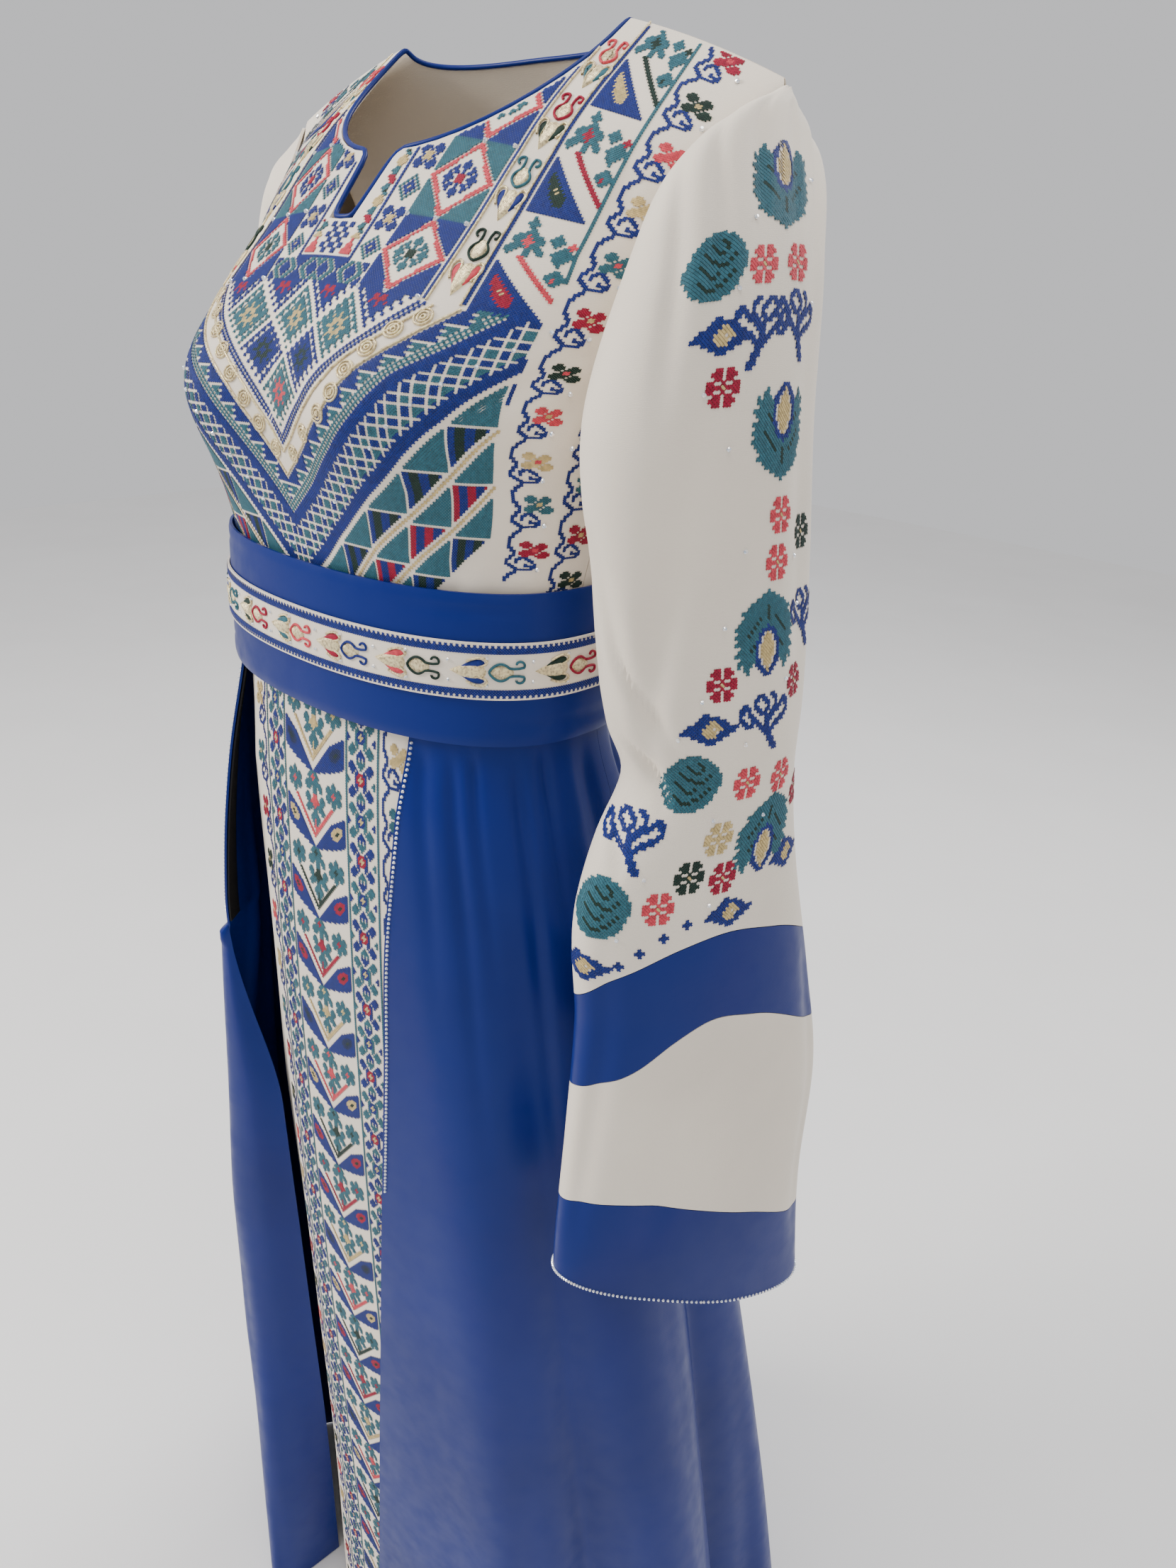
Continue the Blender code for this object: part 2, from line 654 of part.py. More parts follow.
def skirt_wall(name, a, z, shift, mat, push=None, thickness=WALL):
    """Wall over the skirt surface between two edges."""
    n = skirt_normals(a, z)
    shift = np.asarray(shift)
    middle = skirt(a, z) + n * (shift[..., None] if shift.ndim else shift)
    if push is not None:
        middle = middle + push
    return grid_wall(name, middle, n, mat, thickness=thickness)


def flap_line(z):
    """Plan curve of the right flap at one height, front edge to side seam."""
    ridge = np.array([column(RIGHT_RIDGE, 1, z, sign=-1.0),
                      column(RIGHT_RIDGE, 2, z, sign=-1.0), z])
    stand = float(over_layer(z))

    def on_skirt(angle):
        a, level = np.array([angle]), np.array([z])
        return (skirt(a, level) + skirt_normals(a, level) * stand)[0]

    roll = float(ease((ROLL_START - z) / ROLL_LENGTH))
    lap = on_skirt(np.radians(column(PANEL_EDGE, 1, z, sign=-1.0)))
    first = ridge + (lap - ridge) * roll
    second = ridge + 0.5 * (lap - ridge) * roll
    second = second + np.array([0.0, -0.008, 0.0]) * roll
    knots = [first, second, ridge]
    knots += [on_skirt(-np.radians(a)) for a in (58, 70, 82, 92)]
    knots += [on_skirt(-np.radians(SIDE_SEAM - 0.1))]
    knots = np.array(knots)
    step = np.linalg.norm(np.diff(knots, axis=0), axis=1)
    keep = np.concatenate([[True], step > 0.0015])
    if not keep[1]:
        keep[0] = True
    knots = knots[keep]
    along = np.concatenate([[0], np.cumsum(
        np.linalg.norm(np.diff(knots, axis=0), axis=1))])
    t = np.linspace(0, along[-1], 80)
    return np.stack([through(t, along, knots[:, k]) for k in range(3)], -1)


def right_flap(u, z):
    """Right flap from its front edge (u 0) to the side seam (u 1)."""
    u, z = np.broadcast_arrays(np.asarray(u, float), np.asarray(z, float))
    points = np.zeros(u.shape + (3,))
    for i in range(u.shape[0]):
        line = flap_line(float(z[i, 0]))
        along = np.concatenate([[0], np.cumsum(
            np.linalg.norm(np.diff(line, axis=0), axis=1))])
        at = np.clip(u[i], 0, 1) * along[-1]
        for k in range(3):
            points[i, :, k] = np.interp(at, along, line[:, k])
    return points


def flap_normals(u, z):
    d = 0.02
    du = right_flap(u + d, z) - right_flap(u - d, z)
    dv = right_flap(u, z - 1e-3) - right_flap(u, z + 1e-3)
    n = np.cross(du, dv)
    return n / np.linalg.norm(n, axis=-1, keepdims=True)


def build_skirt(cream, blue, black):
    levels = np.array([SKIRT_TOP, -0.403, -0.46, -0.54, -0.63, -0.73, -0.84,
                       -0.96, -1.09, -1.22, -1.36, HEM_Z])[:, None]
    gap = 0.07

    def between(first, last, shares):
        f = np.array(shares)[None]
        return np.radians(first * (1 - f) + last * f)

    edge = column(LEFT_EDGE, 1, levels, sign=-1.0)
    low = ease((ROLL_START - levels) / ROLL_LENGTH)
    start = column(PANEL_EDGE, 1, levels, sign=-1.0) - 9 * low
    shares = [0, 0.08, 0.2, 0.34, 0.48, 0.6, 0.72, 0.86, 1]
    a = between(start, edge + PANEL_UNDERLAP, shares)
    z = levels + 0 * a
    turn = np.clip((np.radians(start + 6) - a) / np.radians(6), 0, 1)
    drop = ease((-0.41 - z) / 0.15) * (1 - 0.8 * low)
    way = np.stack([-0.2 + 0 * a, 1 + 0 * a, 0 * a], -1)
    push = way * (0.020 * drop * turn**2)[..., None]
    skirt_wall("skirt_front_panel", a, z, UNDER_LAYER, cream, push)

    shares = [0, 0.07, 0.19, 0.33, 0.47, 0.60, 0.73, 0.86, 1]
    a = between(edge, SIDE_SEAM - gap, shares)
    z = levels + 0 * a
    skirt_wall("skirt_left", a, z, over_layer(z), blue)

    a = np.radians(np.linspace(SIDE_SEAM + gap, 360 - SIDE_SEAM - gap, 21))
    a = a[None] + 0 * levels
    z = levels + 0 * a
    skirt_wall("skirt_back", a, z, over_layer(z), blue)

    u = np.array([0, 0.1, 0.21, 0.34, 0.48, 0.62, 0.75, 0.88, 1.0])
    u = u[None] + 0 * levels
    z = levels + 0 * u
    n = flap_normals(u, z)
    n[:, -1] = skirt_normals(-np.radians(SIDE_SEAM - 0.1), z[:, -1])
    flap = right_flap(u, z)
    grid_wall("skirt_right", flap, n, blue)
    strip = np.s_[1:5, 0:2]
    grid_wall("flap_facing", (flap - n * 0.0024)[strip], n[strip], black,
              thickness=0.0012)


def main():
    for obj in list(bpy.data.objects):
        bpy.data.objects.remove(obj, do_unlink=True)
    cream = cloth("cream_crepe", CREAM)
    blue = cloth("blue_satin", BLUE, 0.35)
    black = cloth("black_facing", BLACK)
    build_bodice(cream, blue)
    for side in (1, -1):
        build_sleeve(side, cream, blue)
    build_belt(cream, blue)
    build_skirt(cream, blue, black)


main()
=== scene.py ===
"""Long two-layer dress of cream crepe and blue satin with cross stitch.

Metres, +Z up, front towards -Y, the wearer's left towards +X.  The cloth
follows the same tables as the solid model; creases, stitching, couched
metal thread and small crystals are laid on top of it.
"""

import math

import bpy
import numpy as np
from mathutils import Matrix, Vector
from mathutils.geometry import delaunay_2d_cdt


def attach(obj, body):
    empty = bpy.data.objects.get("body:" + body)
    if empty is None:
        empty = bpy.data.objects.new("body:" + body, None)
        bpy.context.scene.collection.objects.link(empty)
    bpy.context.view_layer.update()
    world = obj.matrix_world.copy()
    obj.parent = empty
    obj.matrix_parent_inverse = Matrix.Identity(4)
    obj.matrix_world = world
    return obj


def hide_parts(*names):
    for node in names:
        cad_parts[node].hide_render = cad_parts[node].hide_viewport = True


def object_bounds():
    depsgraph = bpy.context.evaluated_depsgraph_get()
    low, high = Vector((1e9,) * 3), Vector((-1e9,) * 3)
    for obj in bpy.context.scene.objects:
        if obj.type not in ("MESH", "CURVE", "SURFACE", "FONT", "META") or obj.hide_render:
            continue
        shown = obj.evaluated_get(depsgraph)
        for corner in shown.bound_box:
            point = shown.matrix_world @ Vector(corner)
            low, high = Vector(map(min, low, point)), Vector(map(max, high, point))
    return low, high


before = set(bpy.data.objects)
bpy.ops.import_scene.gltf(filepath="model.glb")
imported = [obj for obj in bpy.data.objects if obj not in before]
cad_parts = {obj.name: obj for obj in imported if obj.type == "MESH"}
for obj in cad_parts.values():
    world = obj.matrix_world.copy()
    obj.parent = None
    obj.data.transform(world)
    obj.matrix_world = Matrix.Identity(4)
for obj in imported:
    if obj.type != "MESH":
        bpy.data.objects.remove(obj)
CAD_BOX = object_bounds()

bl_info = {
    "name": "Embroidered Two Layer Dress",
    "version": (1, 0, 0),
    "blender": (4, 5, 0),
    "location": "3D View > Sidebar > Dress",
    "description": "Builds a long crepe and satin dress with cross stitch",
    "category": "Add Mesh",
}

WALL = 0.0018             # thickness of every cloth wall
TRIM = 0.0014             # thickness of the band laid on the belt
SEAM = 0.0004             # room left between two pieces sewn together
PIPING_RADIUS = 0.0016
FACING_DEPTH = 0.026

SHOULDER_TILT = 0.025     # the worn shoulder line leans a little
SHOULDER_TURN = 0.070     # and is turned a little to the wearer's left
# The right arm hangs further back: t, backwards, down.
RIGHT_ARM = [
    (0.060, 0.026, -0.006), (0.130, 0.056, -0.006), (0.220, 0.086, -0.004),
    (0.430, 0.092, -0.004), (0.660, 0.110, -0.004), (1.060, 0.118, -0.004),
]

SKIRT_TOP = -0.3585
HEM_Z = -1.500
UNDER_LAYER = -0.0045     # front panel, measured from the skirt's main curve
OVER_LAYER = 0.0045       # blue overskirt

# Rings of the bodice from the waist up to the shoulder seam.
TORSO = [
    # level  z_mid   z_side  half_w  front   back   side_y
    (0.00, -0.355, -0.357, 0.1535, -0.167, 0.004, -0.082),   # waist
    (0.12, -0.312, -0.316, 0.1545, -0.171, 0.010, -0.078),   # top of belt
    (0.24, -0.266, -0.272, 0.1580, -0.179, 0.022, -0.068),   # under bust
    (0.38, -0.208, -0.216, 0.1660, -0.182, 0.040, -0.052),   # bust
    (0.52, -0.155, -0.170, 0.1730, -0.160, 0.056, -0.036),   # armpit
    (0.67, -0.105, -0.130, 0.1810, -0.124, 0.066, -0.020),   # chest
    (0.83, -0.050, -0.088, 0.1910, -0.076, 0.058, -0.008),   # upper chest
    (1.00, 0.010, -0.042, 0.2040, -0.002, 0.002, 0.000),     # shoulder seam
]
BUST_X, BUST_Z, BUST_OUT, BUST_SPREAD = 0.085, -0.205, 0.024, 0.058

# Armhole: level, angle from the centre front to its front and back edge.
ARMHOLE = [
    (0.50, 90, 90), (0.53, 82, 99), (0.58, 75, 106), (0.66, 71, 110),
    (0.75, 69, 110), (0.84, 69, 108), (0.92, 73, 103), (0.97, 80, 97),
    (1.00, 90, 90),
]

NECK_HALF_WIDTH = 0.097
NECK_FRONT_LEVEL = 0.752
NECK_BACK_LEVEL = 0.930
NOTCH_TOP_HALF = 0.0150
NOTCH_LOW_HALF = 0.0110
NOTCH_LEVEL = 0.645

# Rings of the skirt.
SKIRT = [
    # z      half_w  front   back   side_y
    (-0.358, 0.1545, -0.168, 0.006, -0.082),   # under the belt
    (-0.400, 0.1560, -0.172, 0.012, -0.080),   # foot of the belt
    (-0.540, 0.1760, -0.176, 0.056, -0.064),   # hip
    (-0.780, 0.2050, -0.172, 0.118, -0.034),   # thigh
    (-1.040, 0.2340, -0.160, 0.168, 0.000),    # knee
    (-1.260, 0.2580, -0.148, 0.206, 0.022),    # calf
    (-1.500, 0.2840, -0.140, 0.240, 0.036),    # hem
]

# Folds of the skirt: angle, half width in degrees, outward at the hem, start.
SKIRT_FOLDS = [
    (-34, 14, -0.026, -0.48),
    (40, 11, 0.016, -0.42),
    (62, 8, -0.026, -0.50),
    (84, 11, 0.030, -0.76),
    (104, 7, -0.034, -0.60),
    (124, 11, 0.036, -0.44),
    (146, 8, -0.032, -0.50),
    (166, 11, 0.036, -0.44),
    (188, 8, -0.034, -0.55),
    (208, 11, 0.038, -0.44),
    (230, 8, -0.036, -0.50),
    (250, 11, 0.030, -0.70),
    (274, 8, -0.028, -0.70),
    (296, 9, 0.014, -0.60),
]

# Edge of the left flap: height, angle from the centre front.
LEFT_EDGE = [
    (-0.358, 35), (-0.400, 34), (-0.465, 29.5), (-0.540, 24.5),
    (-0.660, 20.5), (-0.885, 13), (-1.290, 2), (-1.500, -1),
]
# Edge of the front panel on the wearer's right.
PANEL_EDGE = [
    (-0.358, -40), (-0.405, -40), (-0.505, -42), (-0.605, -38),
    (-0.715, -35), (-0.855, -31), (-1.075, -28), (-1.500, -29),
]
# Ridge of the right flap, which stands away from the panel: height, x, y.
# The flap ends on this ridge above, and rolls on over the panel below it.
RIGHT_RIDGE = [
    (-0.358, -0.0985, -0.1500), (-0.405, -0.1010, -0.1590),
    (-0.480, -0.1130, -0.1690), (-0.520, -0.1140, -0.1750),
    (-0.655, -0.1340, -0.1750), (-0.812, -0.1500, -0.1750),
    (-0.994, -0.1640, -0.1760), (-1.115, -0.1620, -0.1760),
    (-1.228, -0.1500, -0.1750), (-1.369, -0.1440, -0.1740),
    (-1.500, -0.1420, -0.1730),
]
ROLL_START, ROLL_LENGTH = -0.60, 0.22
SIDE_SEAM = 100.0         # angle of the skirt's side seams
PANEL_UNDERLAP = 13.0     # how far the panel runs on under the left flap

# Belt: z, half width, front, back, side.
BELT = [
    (-0.3075, 0.1605, -0.1775, 0.0165, -0.0785),
    (-0.3548, 0.1615, -0.17825, 0.01775, -0.07925),
    (-0.4020, 0.1625, -0.1790, 0.0190, -0.0800),
]
BRAID_TOP, BRAID_FOOT = -0.3360, -0.3710

# Rings of the sleeve, shoulder to hand.
SLEEVE = [
    # t     centre x  y       z       out     fore   tilt  turn
    (0.060, 0.1970, -0.012, -0.100, 0.0500, 0.068, 62, 90),   # cap
    (0.130, 0.2120, -0.038, -0.140, 0.0450, 0.073, 36, 88),   # below the cap
    (0.220, 0.2240, -0.061, -0.207, 0.0440, 0.077, 10, 85),   # upper arm
    (0.320, 0.2290, -0.056, -0.284, 0.0430, 0.075, 3, 82),
    (0.430, 0.2370, -0.050, -0.370, 0.0400, 0.068, 0, 80),
    (0.485, 0.2400, -0.046, -0.407, 0.0370, 0.061, 0, 79),    # elbow
    (0.525, 0.2430, -0.057, -0.437, 0.0360, 0.071, 0, 78),
    (0.570, 0.2460, -0.063, -0.472, 0.0350, 0.080, 0, 77),
    (0.680, 0.2530, -0.055, -0.559, 0.0340, 0.089, 0, 75),    # lower arm
    (0.790, 0.2580, -0.051, -0.639, 0.0320, 0.098, 0, 73),
    (0.910, 0.2620, -0.059, -0.732, 0.0300, 0.098, 0, 71),
    (1.060, 0.2660, -0.054, -0.852, 0.0290, 0.103, 0, 70),    # hand
]
# Seams round the sleeve: angle from its outer line towards the front, t.
BAND_TOP = [
    (0, 0.600), (22, 0.605), (47, 0.620), (85, 0.645), (130, 0.660),
    (210, 0.660), (288, 0.640), (330, 0.612),
]
BAND_FOOT = [
    (9, 0.677), (25, 0.690), (42, 0.713), (93, 0.738), (150, 0.750),
    (250, 0.745), (299, 0.730), (347, 0.685),
]
CUFF_TOP = [
    (32, 0.860), (96, 0.855), (180, 0.880), (250, 0.930), (301, 0.940),
    (340, 0.905),
]
CUFF_END = [
    (28, 0.965), (82, 0.935), (180, 0.960), (250, 1.020), (300, 1.030),
    (340, 1.010),
]
# Soft troughs down the sleeve: angle, t at its start and end, width, depth.
SLEEVE_FOLDS = [
    (27, 73, 0.17, 0.50, 11, 0.0060),
    (330, 318, 0.10, 0.46, 12, 0.0040),
]


def through(t, knots, values):
    """Smooth curve through the given rows, read at t."""
    t = np.asarray(t, float)
    knots = np.asarray(knots, float)
    values = np.asarray(values, float)
    slope = np.gradient(values, knots)
    i = np.clip(np.searchsorted(knots, t, side="right") - 1, 0, len(knots) - 2)
    span = knots[i + 1] - knots[i]
    u = np.clip((t - knots[i]) / span, 0, 1)
    return ((2 * u**3 - 3 * u**2 + 1) * values[i]
            + (u**3 - 2 * u**2 + u) * span * slope[i]
            + (-2 * u**3 + 3 * u**2) * values[i + 1]
            + (u**3 - u**2) * span * slope[i + 1])


def column(rows, k, t, key=0, sign=1.0):
    """Read one column of a table at t."""
    return through(np.asarray(t, float) * sign,
                   [sign * r[key] for r in rows], [r[k] for r in rows])


def around(rows, degrees):
    """Read a table of a closed ring at an angle."""
    ring = [(a - 360, v) for a, v in rows] + list(rows)
    ring += [(a + 360, v) for a, v in rows]
    wrapped = np.mod(np.asarray(degrees, float), 360)
    return through(wrapped, [r[0] for r in ring], [r[1] for r in ring])


def between(table, x):
    """Second column of a two-column table at x."""
    return np.interp(x, [row[0] for row in table], [row[1] for row in table])


def unit(v):
    """Rows of v made one long."""
    return v / np.maximum(np.linalg.norm(v, axis=1, keepdims=True), 1e-9)


def ease(t):
    t = np.clip(t, 0, 1)
    return t * t * (3 - 2 * t)


def oval(a, half_w, front, back, side):
    """Plan curve of the body: x and y at angle a from the centre front."""
    s, c = np.sin(a), np.cos(a)
    x = half_w * np.sign(s) * np.abs(s)**0.92
    ahead = side + (front - side) * np.abs(c)**0.85
    behind = side + (back - side) * np.abs(c)**0.80
    return x, np.where(c >= 0, ahead, behind)


def torso(a, h):
    """Bodice surface; a in radians from the centre front, h from 0 to 1."""
    a, h = np.broadcast_arrays(np.asarray(a, float), np.asarray(h, float))
    z_mid, z_side, half_w, front, back, side = [
        column(TORSO, k, h) for k in range(1, 7)]
    x, y = oval(a, half_w, front, back, side)
    z = z_mid + (z_side - z_mid) * np.abs(np.sin(a))**1.6
    swell = np.exp(-((np.abs(x) - BUST_X) / BUST_SPREAD)**2
                   - ((z - BUST_Z) / BUST_SPREAD)**2)
    y = y - BUST_OUT * swell * np.clip(3 * np.cos(a), 0, 1)
    rise = ease((h - 0.30) / 0.70)
    return np.stack([x, y + SHOULDER_TURN * x * rise,
                     z + SHOULDER_TILT * x * rise], -1)


def skirt(a, z):
    """Main skirt surface; a in radians, z the height."""
    a, z = np.broadcast_arrays(np.asarray(a, float), np.asarray(z, float))
    half_w, front, back, side = [
        column(SKIRT, k, z, sign=-1.0) for k in range(1, 5)]
    x, y = oval(a, half_w, front, back, side)
    out = np.zeros_like(x)
    for angle, width, depth, start in SKIRT_FOLDS:
        away = (np.degrees(a) - angle + 180) % 360 - 180
        grow = np.clip((start - z) / (start - HEM_Z), 0, 1)**0.8
        out = out + depth * grow * np.exp(-(away / width)**2)
    return np.stack([x + np.sin(a) * out, y - np.cos(a) * out, z], -1)


def normals(surface, u, v):
    """Unit normals of surface(u, v), facing away from the wearer."""
    d = 1e-4
    du = surface(u + d, v) - surface(u - d, v)
    dv = surface(u, v + d) - surface(u, v - d)
    n = np.cross(du, dv)
    return n / np.maximum(np.linalg.norm(n, axis=-1, keepdims=True), 1e-12)


def torso_normals(a, h):
    """Normals of the bodice, turned upright along the shoulder seam."""
    n = normals(torso, a, np.clip(h, 0.0002, 0.9990))
    x = torso(a, h)[..., :1]
    up = np.concatenate([1.1 * x, 0 * x, 1 + 0 * x], -1)
    up = up / np.linalg.norm(up, axis=-1, keepdims=True)
    k = np.clip((np.asarray(h) - 0.88) / 0.12, 0, 1)[..., None]**2
    n = n * (1 - k) + up * k
    return n / np.linalg.norm(n, axis=-1, keepdims=True)


def armhole(theta, side=1):
    """Armhole edge; theta 0 at the shoulder, 90 in front, 180 under the arm."""
    t = np.radians(theta)
    h = 0.75 + 0.25 * np.cos(t)
    ahead = column(ARMHOLE, 1, h)
    behind = column(ARMHOLE, 2, h)
    a = np.radians(np.where(np.sin(t) >= 0, ahead, behind)) * side
    n = torso_normals(a, h)
    out = np.array([side * 1.0, 0.0, 0.0])
    under = ease(-np.cos(t) * 1.4)[..., None]
    return torso(a, h) + 0.0026 * n + (0.0014 + 0.0045 * under) * out


def sleeve_ring(theta, row, side=1):
    """One closed ring of the sleeve."""
    level, cx, cy, cz, out, fore, tilt, turn = row
    t, tilt, turn = np.radians(theta), np.radians(tilt), np.radians(turn)
    centre = np.array([cx, cy, cz])
    outward = np.array([np.cos(tilt) * np.sin(turn),
                        -np.cos(tilt) * np.cos(turn), np.sin(tilt)])
    forward = np.array([-np.cos(turn), -np.sin(turn), 0.0])
    p = (centre + np.cos(t)[..., None] * out * outward
         + np.sin(t)[..., None] * fore * forward)
    if side < 0:
        p = p * np.array([-1.0, 1.0, 1.0])
        p = p + np.array([0.0, float(column(RIGHT_ARM, 1, level)),
                          float(column(RIGHT_ARM, 2, level))])
    return p


def sleeve(theta, t, side=1):
    """Sleeve surface; theta in degrees round it, t from shoulder to hand."""
    theta, t = np.broadcast_arrays(np.asarray(theta, float),
                                   np.asarray(t, float))
    knots = np.array([0.0] + [r[0] for r in SLEEVE])
    rings = [armhole(theta, side)]
    rings += [sleeve_ring(theta, r, side) for r in SLEEVE]
    stack = np.stack(rings, 0)
    slope = np.gradient(stack, knots, axis=0)
    i = np.clip(np.searchsorted(knots, t, side="right") - 1, 0, len(knots) - 2)
    span = (knots[i + 1] - knots[i])[..., None]
    u = (t - knots[i])[..., None] / span

    def pick(block, k):
        return np.take_along_axis(block, k[None, ..., None], 0)[0]

    p = ((2 * u**3 - 3 * u**2 + 1) * pick(stack, i)
         + (u**3 - 2 * u**2 + u) * span * pick(slope, i)
         + (-2 * u**3 + 3 * u**2) * pick(stack, i + 1)
         + (u**3 - u**2) * span * pick(slope, i + 1))
    middle = np.stack([column(SLEEVE, k, t) for k in (1, 2, 3)], -1)
    middle = middle * np.array([side, 1.0, 1.0])
    if side < 0:
        middle[..., 1] += column(RIGHT_ARM, 1, t)
    inward = middle - p
    inward = inward / np.maximum(
        np.linalg.norm(inward, axis=-1, keepdims=True), 1e-9)
    depth = np.zeros_like(t)
    for a0, a1, t0, t1, width, deep in SLEEVE_FOLDS:
        s = np.clip((t - t0) / (t1 - t0), 0, 1)
        away = (theta - (a0 + (a1 - a0) * s) + 180) % 360 - 180
        fade = np.sin(np.pi * s)
        depth = depth + deep * fade * np.exp(-(away / width)**2)
    return p + inward * depth[..., None]


FINE = 0.0065             # size of the faces of the bodice cloth
PITCH = 0.00185           # one cross stitch to the next
CODES = {".": 0, "B": 1, "T": 2, "K": 3, "R": 4, "G": 5, "Y": 6, "N": 7}
# Soft creases: start x, y, end x, y in metres of cloth, half width, depth.
BODICE_CREASES = [
    (0.215, 0.205, 0.120, 0.135, 0.0070, 0.0020),
    (0.222, 0.180, 0.150, 0.095, 0.0080, 0.0024),
    (0.228, 0.130, 0.165, 0.050, 0.0080, 0.0020),
    (0.205, 0.060, 0.120, 0.020, 0.0070, 0.0016),
    (0.150, 0.330, 0.175, 0.270, 0.0060, 0.0014),
    (0.060, 0.050, 0.020, 0.012, 0.0090, 0.0012),
    (0.100, 0.062, 0.085, 0.008, 0.0080, 0.0016),
    (0.140, 0.070, 0.135, 0.006, 0.0080, 0.0018),
]
BACK_CREASES = [
    (0.300, 0.300, 0.420, 0.250, 0.0110, 0.0024),
    (0.290, 0.180, 0.380, 0.110, 0.0100, 0.0026),
    (0.310, 0.110, 0.400, 0.050, 0.0090, 0.0026),
    (0.440, 0.090, 0.500, 0.040, 0.0090, 0.0020),
    (0.280, 0.060, 0.350, 0.020, 0.0080, 0.0020),
    (0.450, 0.200, 0.518, 0.180, 0.0120, 0.0018),
]
# Small gathers of the skirt: angle, height at the foot, half width, depth.
SKIRT_GATHERS = [
    (38, -0.640, 2.6, 0.0030), (47, -0.760, 2.2, 0.0034),
    (54, -0.600, 2.0, 0.0028), (68, -0.820, 2.4, 0.0036),
    (78, -0.650, 2.2, 0.0030), (92, -0.760, 2.6, 0.0034),
    (113, -0.700, 2.4, 0.0034), (131, -0.820, 2.2, 0.0030),
    (139, -0.640, 2.0, 0.0028), (155, -0.760, 2.6, 0.0034),
    (174, -0.680, 2.2, 0.0030), (181, -0.840, 2.4, 0.0034),
    (197, -0.660, 2.0, 0.0030), (218, -0.800, 2.6, 0.0036),
    (239, -0.700, 2.2, 0.0030), (258, -0.840, 2.4, 0.0034),
]
# Long soft folds low in the skirt: angle, start and end height, width, depth.
SKIRT_RUNS = [
    (44, -0.80, -1.50, 4.0, 0.0080), (73, -0.95, -1.50, 3.5, 0.0070),
    (94, -0.85, -1.50, 4.0, 0.0080), (114, -0.90, -1.50, 3.6, 0.0080),
    (135, -1.00, -1.50, 3.8, 0.0080), (156, -0.85, -1.50, 4.0, 0.0090),
    (177, -0.95, -1.50, 3.6, 0.0080), (198, -0.90, -1.50, 4.0, 0.0080),
    (219, -1.00, -1.50, 3.8, 0.0080), (240, -0.85, -1.50, 3.6, 0.0080),
    (263, -0.95, -1.50, 4.0, 0.0080), (283, -1.00, -1.50, 4.0, 0.0060),
]
# Small creases of the sleeve: angle and t at both ends, half width, depth.
SLEEVE_CREASES = [
    (-38, 0.02, -30, 0.16, 5, 0.0030), (-24, 0.01, -20, 0.13, 4, 0.0024),
    (-12, 0.01, -10, 0.15, 4, 0.0027), (2, 0.01, 0, 0.11, 4, 0.0022),
    (14, 0.01, 12, 0.14, 4, 0.0024), (40, 0.03, 30, 0.18, 5, 0.0027),
    (62, 0.05, 48, 0.24, 6, 0.0030), (88, 0.36, 40, 0.45, 9, 0.0035),
    (96, 0.42, 50, 0.49, 8, 0.0041), (92, 0.50, 60, 0.54, 7, 0.0032),
    (100, 0.28, 70, 0.40, 9, 0.0035), (130, 0.20, 104, 0.40, 10, 0.0038),
    (160, 0.12, 140, 0.36, 11, 0.0041), (200, 0.10, 214, 0.40, 11, 0.0041),
    (236, 0.14, 250, 0.46, 10, 0.0038), (270, 0.30, 290, 0.50, 9, 0.0032),
    (150, 0.46, 190, 0.50, 9, 0.0041), (60, 0.56, 70, 0.92, 9, 0.0027),
    (120, 0.58, 128, 0.95, 10, 0.0035), (220, 0.55, 212, 0.95, 10, 0.0035),
    (300, 0.62, 294, 1.00, 9, 0.0027), (20, 0.70, 26, 0.92, 8, 0.0019),
]
BELT_CREASES = [
    (-70, -0.318, -20, -0.3165, 0.0022, 0.0008),
    (30, -0.3195, 95, -0.3150, 0.0022, 0.0009),
    (60, -0.3860, 130, -0.3930, 0.0026, 0.0010),
    (-95, -0.3830, -30, -0.3890, 0.0026, 0.0009),
    (150, -0.3200, 205, -0.3170, 0.0024, 0.0010),
    (160, -0.3900, 230, -0.3860, 0.0026, 0.0010),
    (235, -0.3180, 275, -0.3210, 0.0022, 0.0009),
]


def troughs(x, y, rows, both_sides=False):
    """Depth of the creases that run between two points of the cloth."""
    depth = np.zeros(np.broadcast(x, y).shape)
    for x0, y0, x1, y1, width, deep in rows:
        for side in ((1, -1) if both_sides else (1,)):
            dx, dy = side * (x1 - x0), y1 - y0
            px, py = x - side * x0, y - y0
            long = dx * dx + dy * dy
            s = (px * dx + py * dy) / long
            off = np.abs(px * dy - py * dx) / np.sqrt(long)
            off = off + 0.15 * width * np.sin(9 * s + x0 * 40)
            fade = np.sin(np.pi * np.clip(s, 0, 1)) ** 0.8
            k = 1.0 if side > 0 else 0.8
            depth = depth + k * deep * fade * np.exp(-(off / width) ** 2)
    return depth


